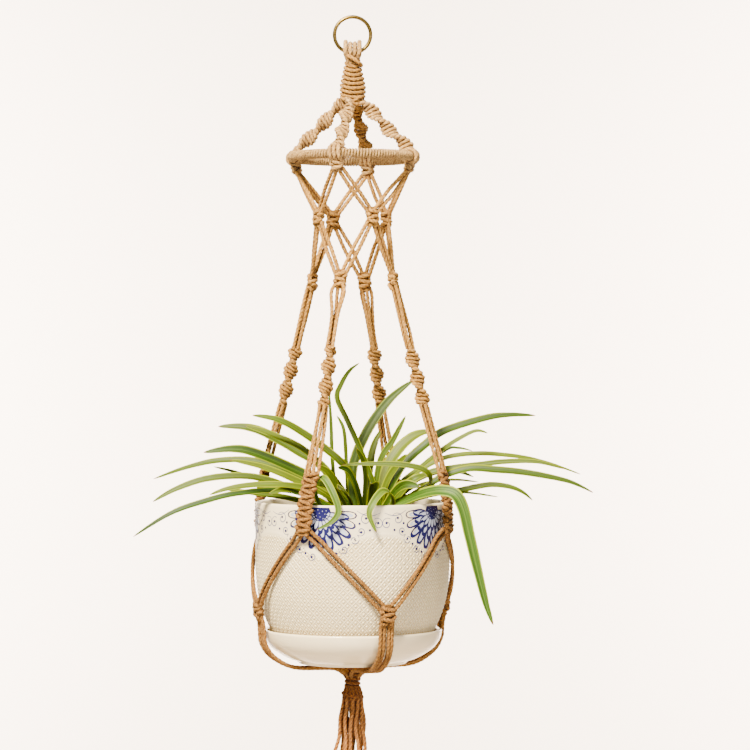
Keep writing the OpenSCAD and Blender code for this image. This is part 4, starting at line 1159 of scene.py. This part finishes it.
def leaf_shell(q, aim, fold, out):
    """One leaf: a thin closed strap with a V-shaped channel, swept through its points. aim turns its
    face to the front."""
    verts, faces, uvs, tones = out
    p = smooth(q[1:], 7)
    n, m = len(p), len(ACROSS)
    first = len(verts)
    tone = rng.random()
    tans = [(p[min(i + 1, n - 1)] - p[max(i - 1, 0)]).normalized() for i in range(n)]
    side, sides = tans[0].cross(Vector((0.02, 0.01, 1))).normalized(), []
    for tan in tans:
        side = (side - tan * side.dot(tan)).normalized()
        sides.append(side)
    mid = int(n * 0.62)
    tan = tans[mid]
    want = tan.cross(Vector((0, 0, 1))) * math.cos(aim) - tan.cross(Vector((0, 1, 0))) * math.sin(aim)
    want = (want - tan * want.dot(tan)).normalized()
    roll = math.atan2(sides[mid].cross(tan).dot(want), sides[mid].dot(want))
    for i in range(n):
        t, tan = i / (n - 1), tans[i]
        side = sides[i] * math.cos(roll) + sides[i].cross(tan) * math.sin(roll)
        up = side.cross(tan).normalized()
        w = q[0] * 0.66 * look(t, WIDTHS)
        ripple = 0.05 * q[0] * math.sin(9 * t + tone * 20)
        for under in (0, 1):
            for x in ACROSS:
                lift = w * fold * abs(x) ** 1.3 + ripple * abs(x) - under * lerp(0.75, 0.3,
                    abs(x)) * min(1, w)
                verts.append((p[i] + side * x * w + up * lift) * MM)
                uvs.append((0.5 + 0.5 * x, t))
                tones.append(tone)
    ring = 2 * m
    for i in range(n - 1):
        a, b = first + i * ring, first + (i + 1) * ring
        for j in range(m - 1):
            faces.append((a + j, a + j + 1, b + j + 1, b + j))
            faces.append((a + m + j + 1, a + m + j, b + m + j, b + m + j + 1))
        faces.append((a + m, a, b, b + m))
        faces.append((a + m - 1, a + ring - 1, b + ring - 1, b + m - 1))
    faces.append([first + j for j in range(m)][::-1] + [first + m + j for j in range(m)])
    last = first + (n - 1) * ring
    faces.append([last + j for j in range(m)] + [last + m + j for j in range(m)][::-1])


for name, leaves, aim, mat in (("Leaves_Left", LEFT, 0.85, LEAF), ("Leaves_Right", RIGHT, 0.85, LEAF),
        ("Leaves_Upright", UPRIGHT, 1.2, LEAF),
        ("Leaves_Front", FRONT, 1.1, LEAF_PALE), ("Leaves_Short", SHORT, 0.9, LEAF)):
    out = ([], [], [], [])
    for q in leaves:
        leaf_shell(q, aim + rng.uniform(-0.25, 0.25), 0.36, out)
    o = mesh_object(name, out[0], out[1], mat, out[2], {"tone": out[3]})
    place(o, "plant", "leaf", name.lower())

# ---------------------------------------------------------------- studio


FLOOR, WALL, BEND = -3.2, 5.0, 0.6


def cyclorama():
    """A painted studio floor that curves up into a wall: pale and matt."""
    prof = [(-8.0, FLOOR), (WALL - BEND, FLOOR)]
    curve = [math.pi / 2 * k / 12 for k in range(1, 13)]
    prof += [(WALL - BEND * (1 - math.sin(a)), FLOOR + BEND * (1 - math.cos(a))) for a in curve]
    prof += [(WALL, 4.0)]
    verts = [(x, y, z) for y, z in prof for x in (-8, 8)]
    faces = [(2 * i, 2 * i + 1, 2 * i + 3, 2 * i + 2) for i in range(len(prof) - 1)]
    return mesh_object("Backdrop", verts, faces, material("pale_backdrop", Base_Color="#F8ECDF",
        Roughness=0.9)[0])


cyclorama()


def area(name, loc, target, size, power, colour, spread=180):
    d = bpy.data.lights.new(name, "AREA")
    d.shape = "RECTANGLE"
    d.size, d.size_y = size
    d.energy = power
    d.color = srgb(colour)[:3]
    d.spread = math.radians(spread)
    o = bpy.data.objects.new(name, d)
    o.location = loc
    o.rotation_euler = (Vector(target) - Vector(loc)).to_track_quat("-Z", "Y").to_euler()
    bpy.context.scene.collection.objects.link(o)


area("key", (-1.0, -2.1, 1.9), (0, 0, -0.4), (0.7, 0.7), 600, "#FFF0D8")
area("fill", (1.6, -2.8, 0.0), (0, 0, -0.4), (1.0, 1.4), 54, "#FFF6F0")
area("low_fill", (-0.2, -2.0, -1.9), (0, 0, -0.55), (1.2, 1.2), 16, "#FFF4E4")
area("wall_left", (-2.3, 3.6, -0.3), (-0.7, 5.0, -0.3), (0.6, 3.0), 320, "#FFF6EE", 125)
area("wall_right", (2.3, 3.6, -0.3), (0.7, 5.0, -0.3), (0.6, 3.0), 320, "#FFF4EC", 125)
world = bpy.data.worlds.new("studio")
world.use_nodes = True
world.node_tree.nodes["Background"].inputs[0].default_value = srgb("#FBF6F2")
world.node_tree.nodes["Background"].inputs[1].default_value = 0.3
bpy.context.scene.world = world
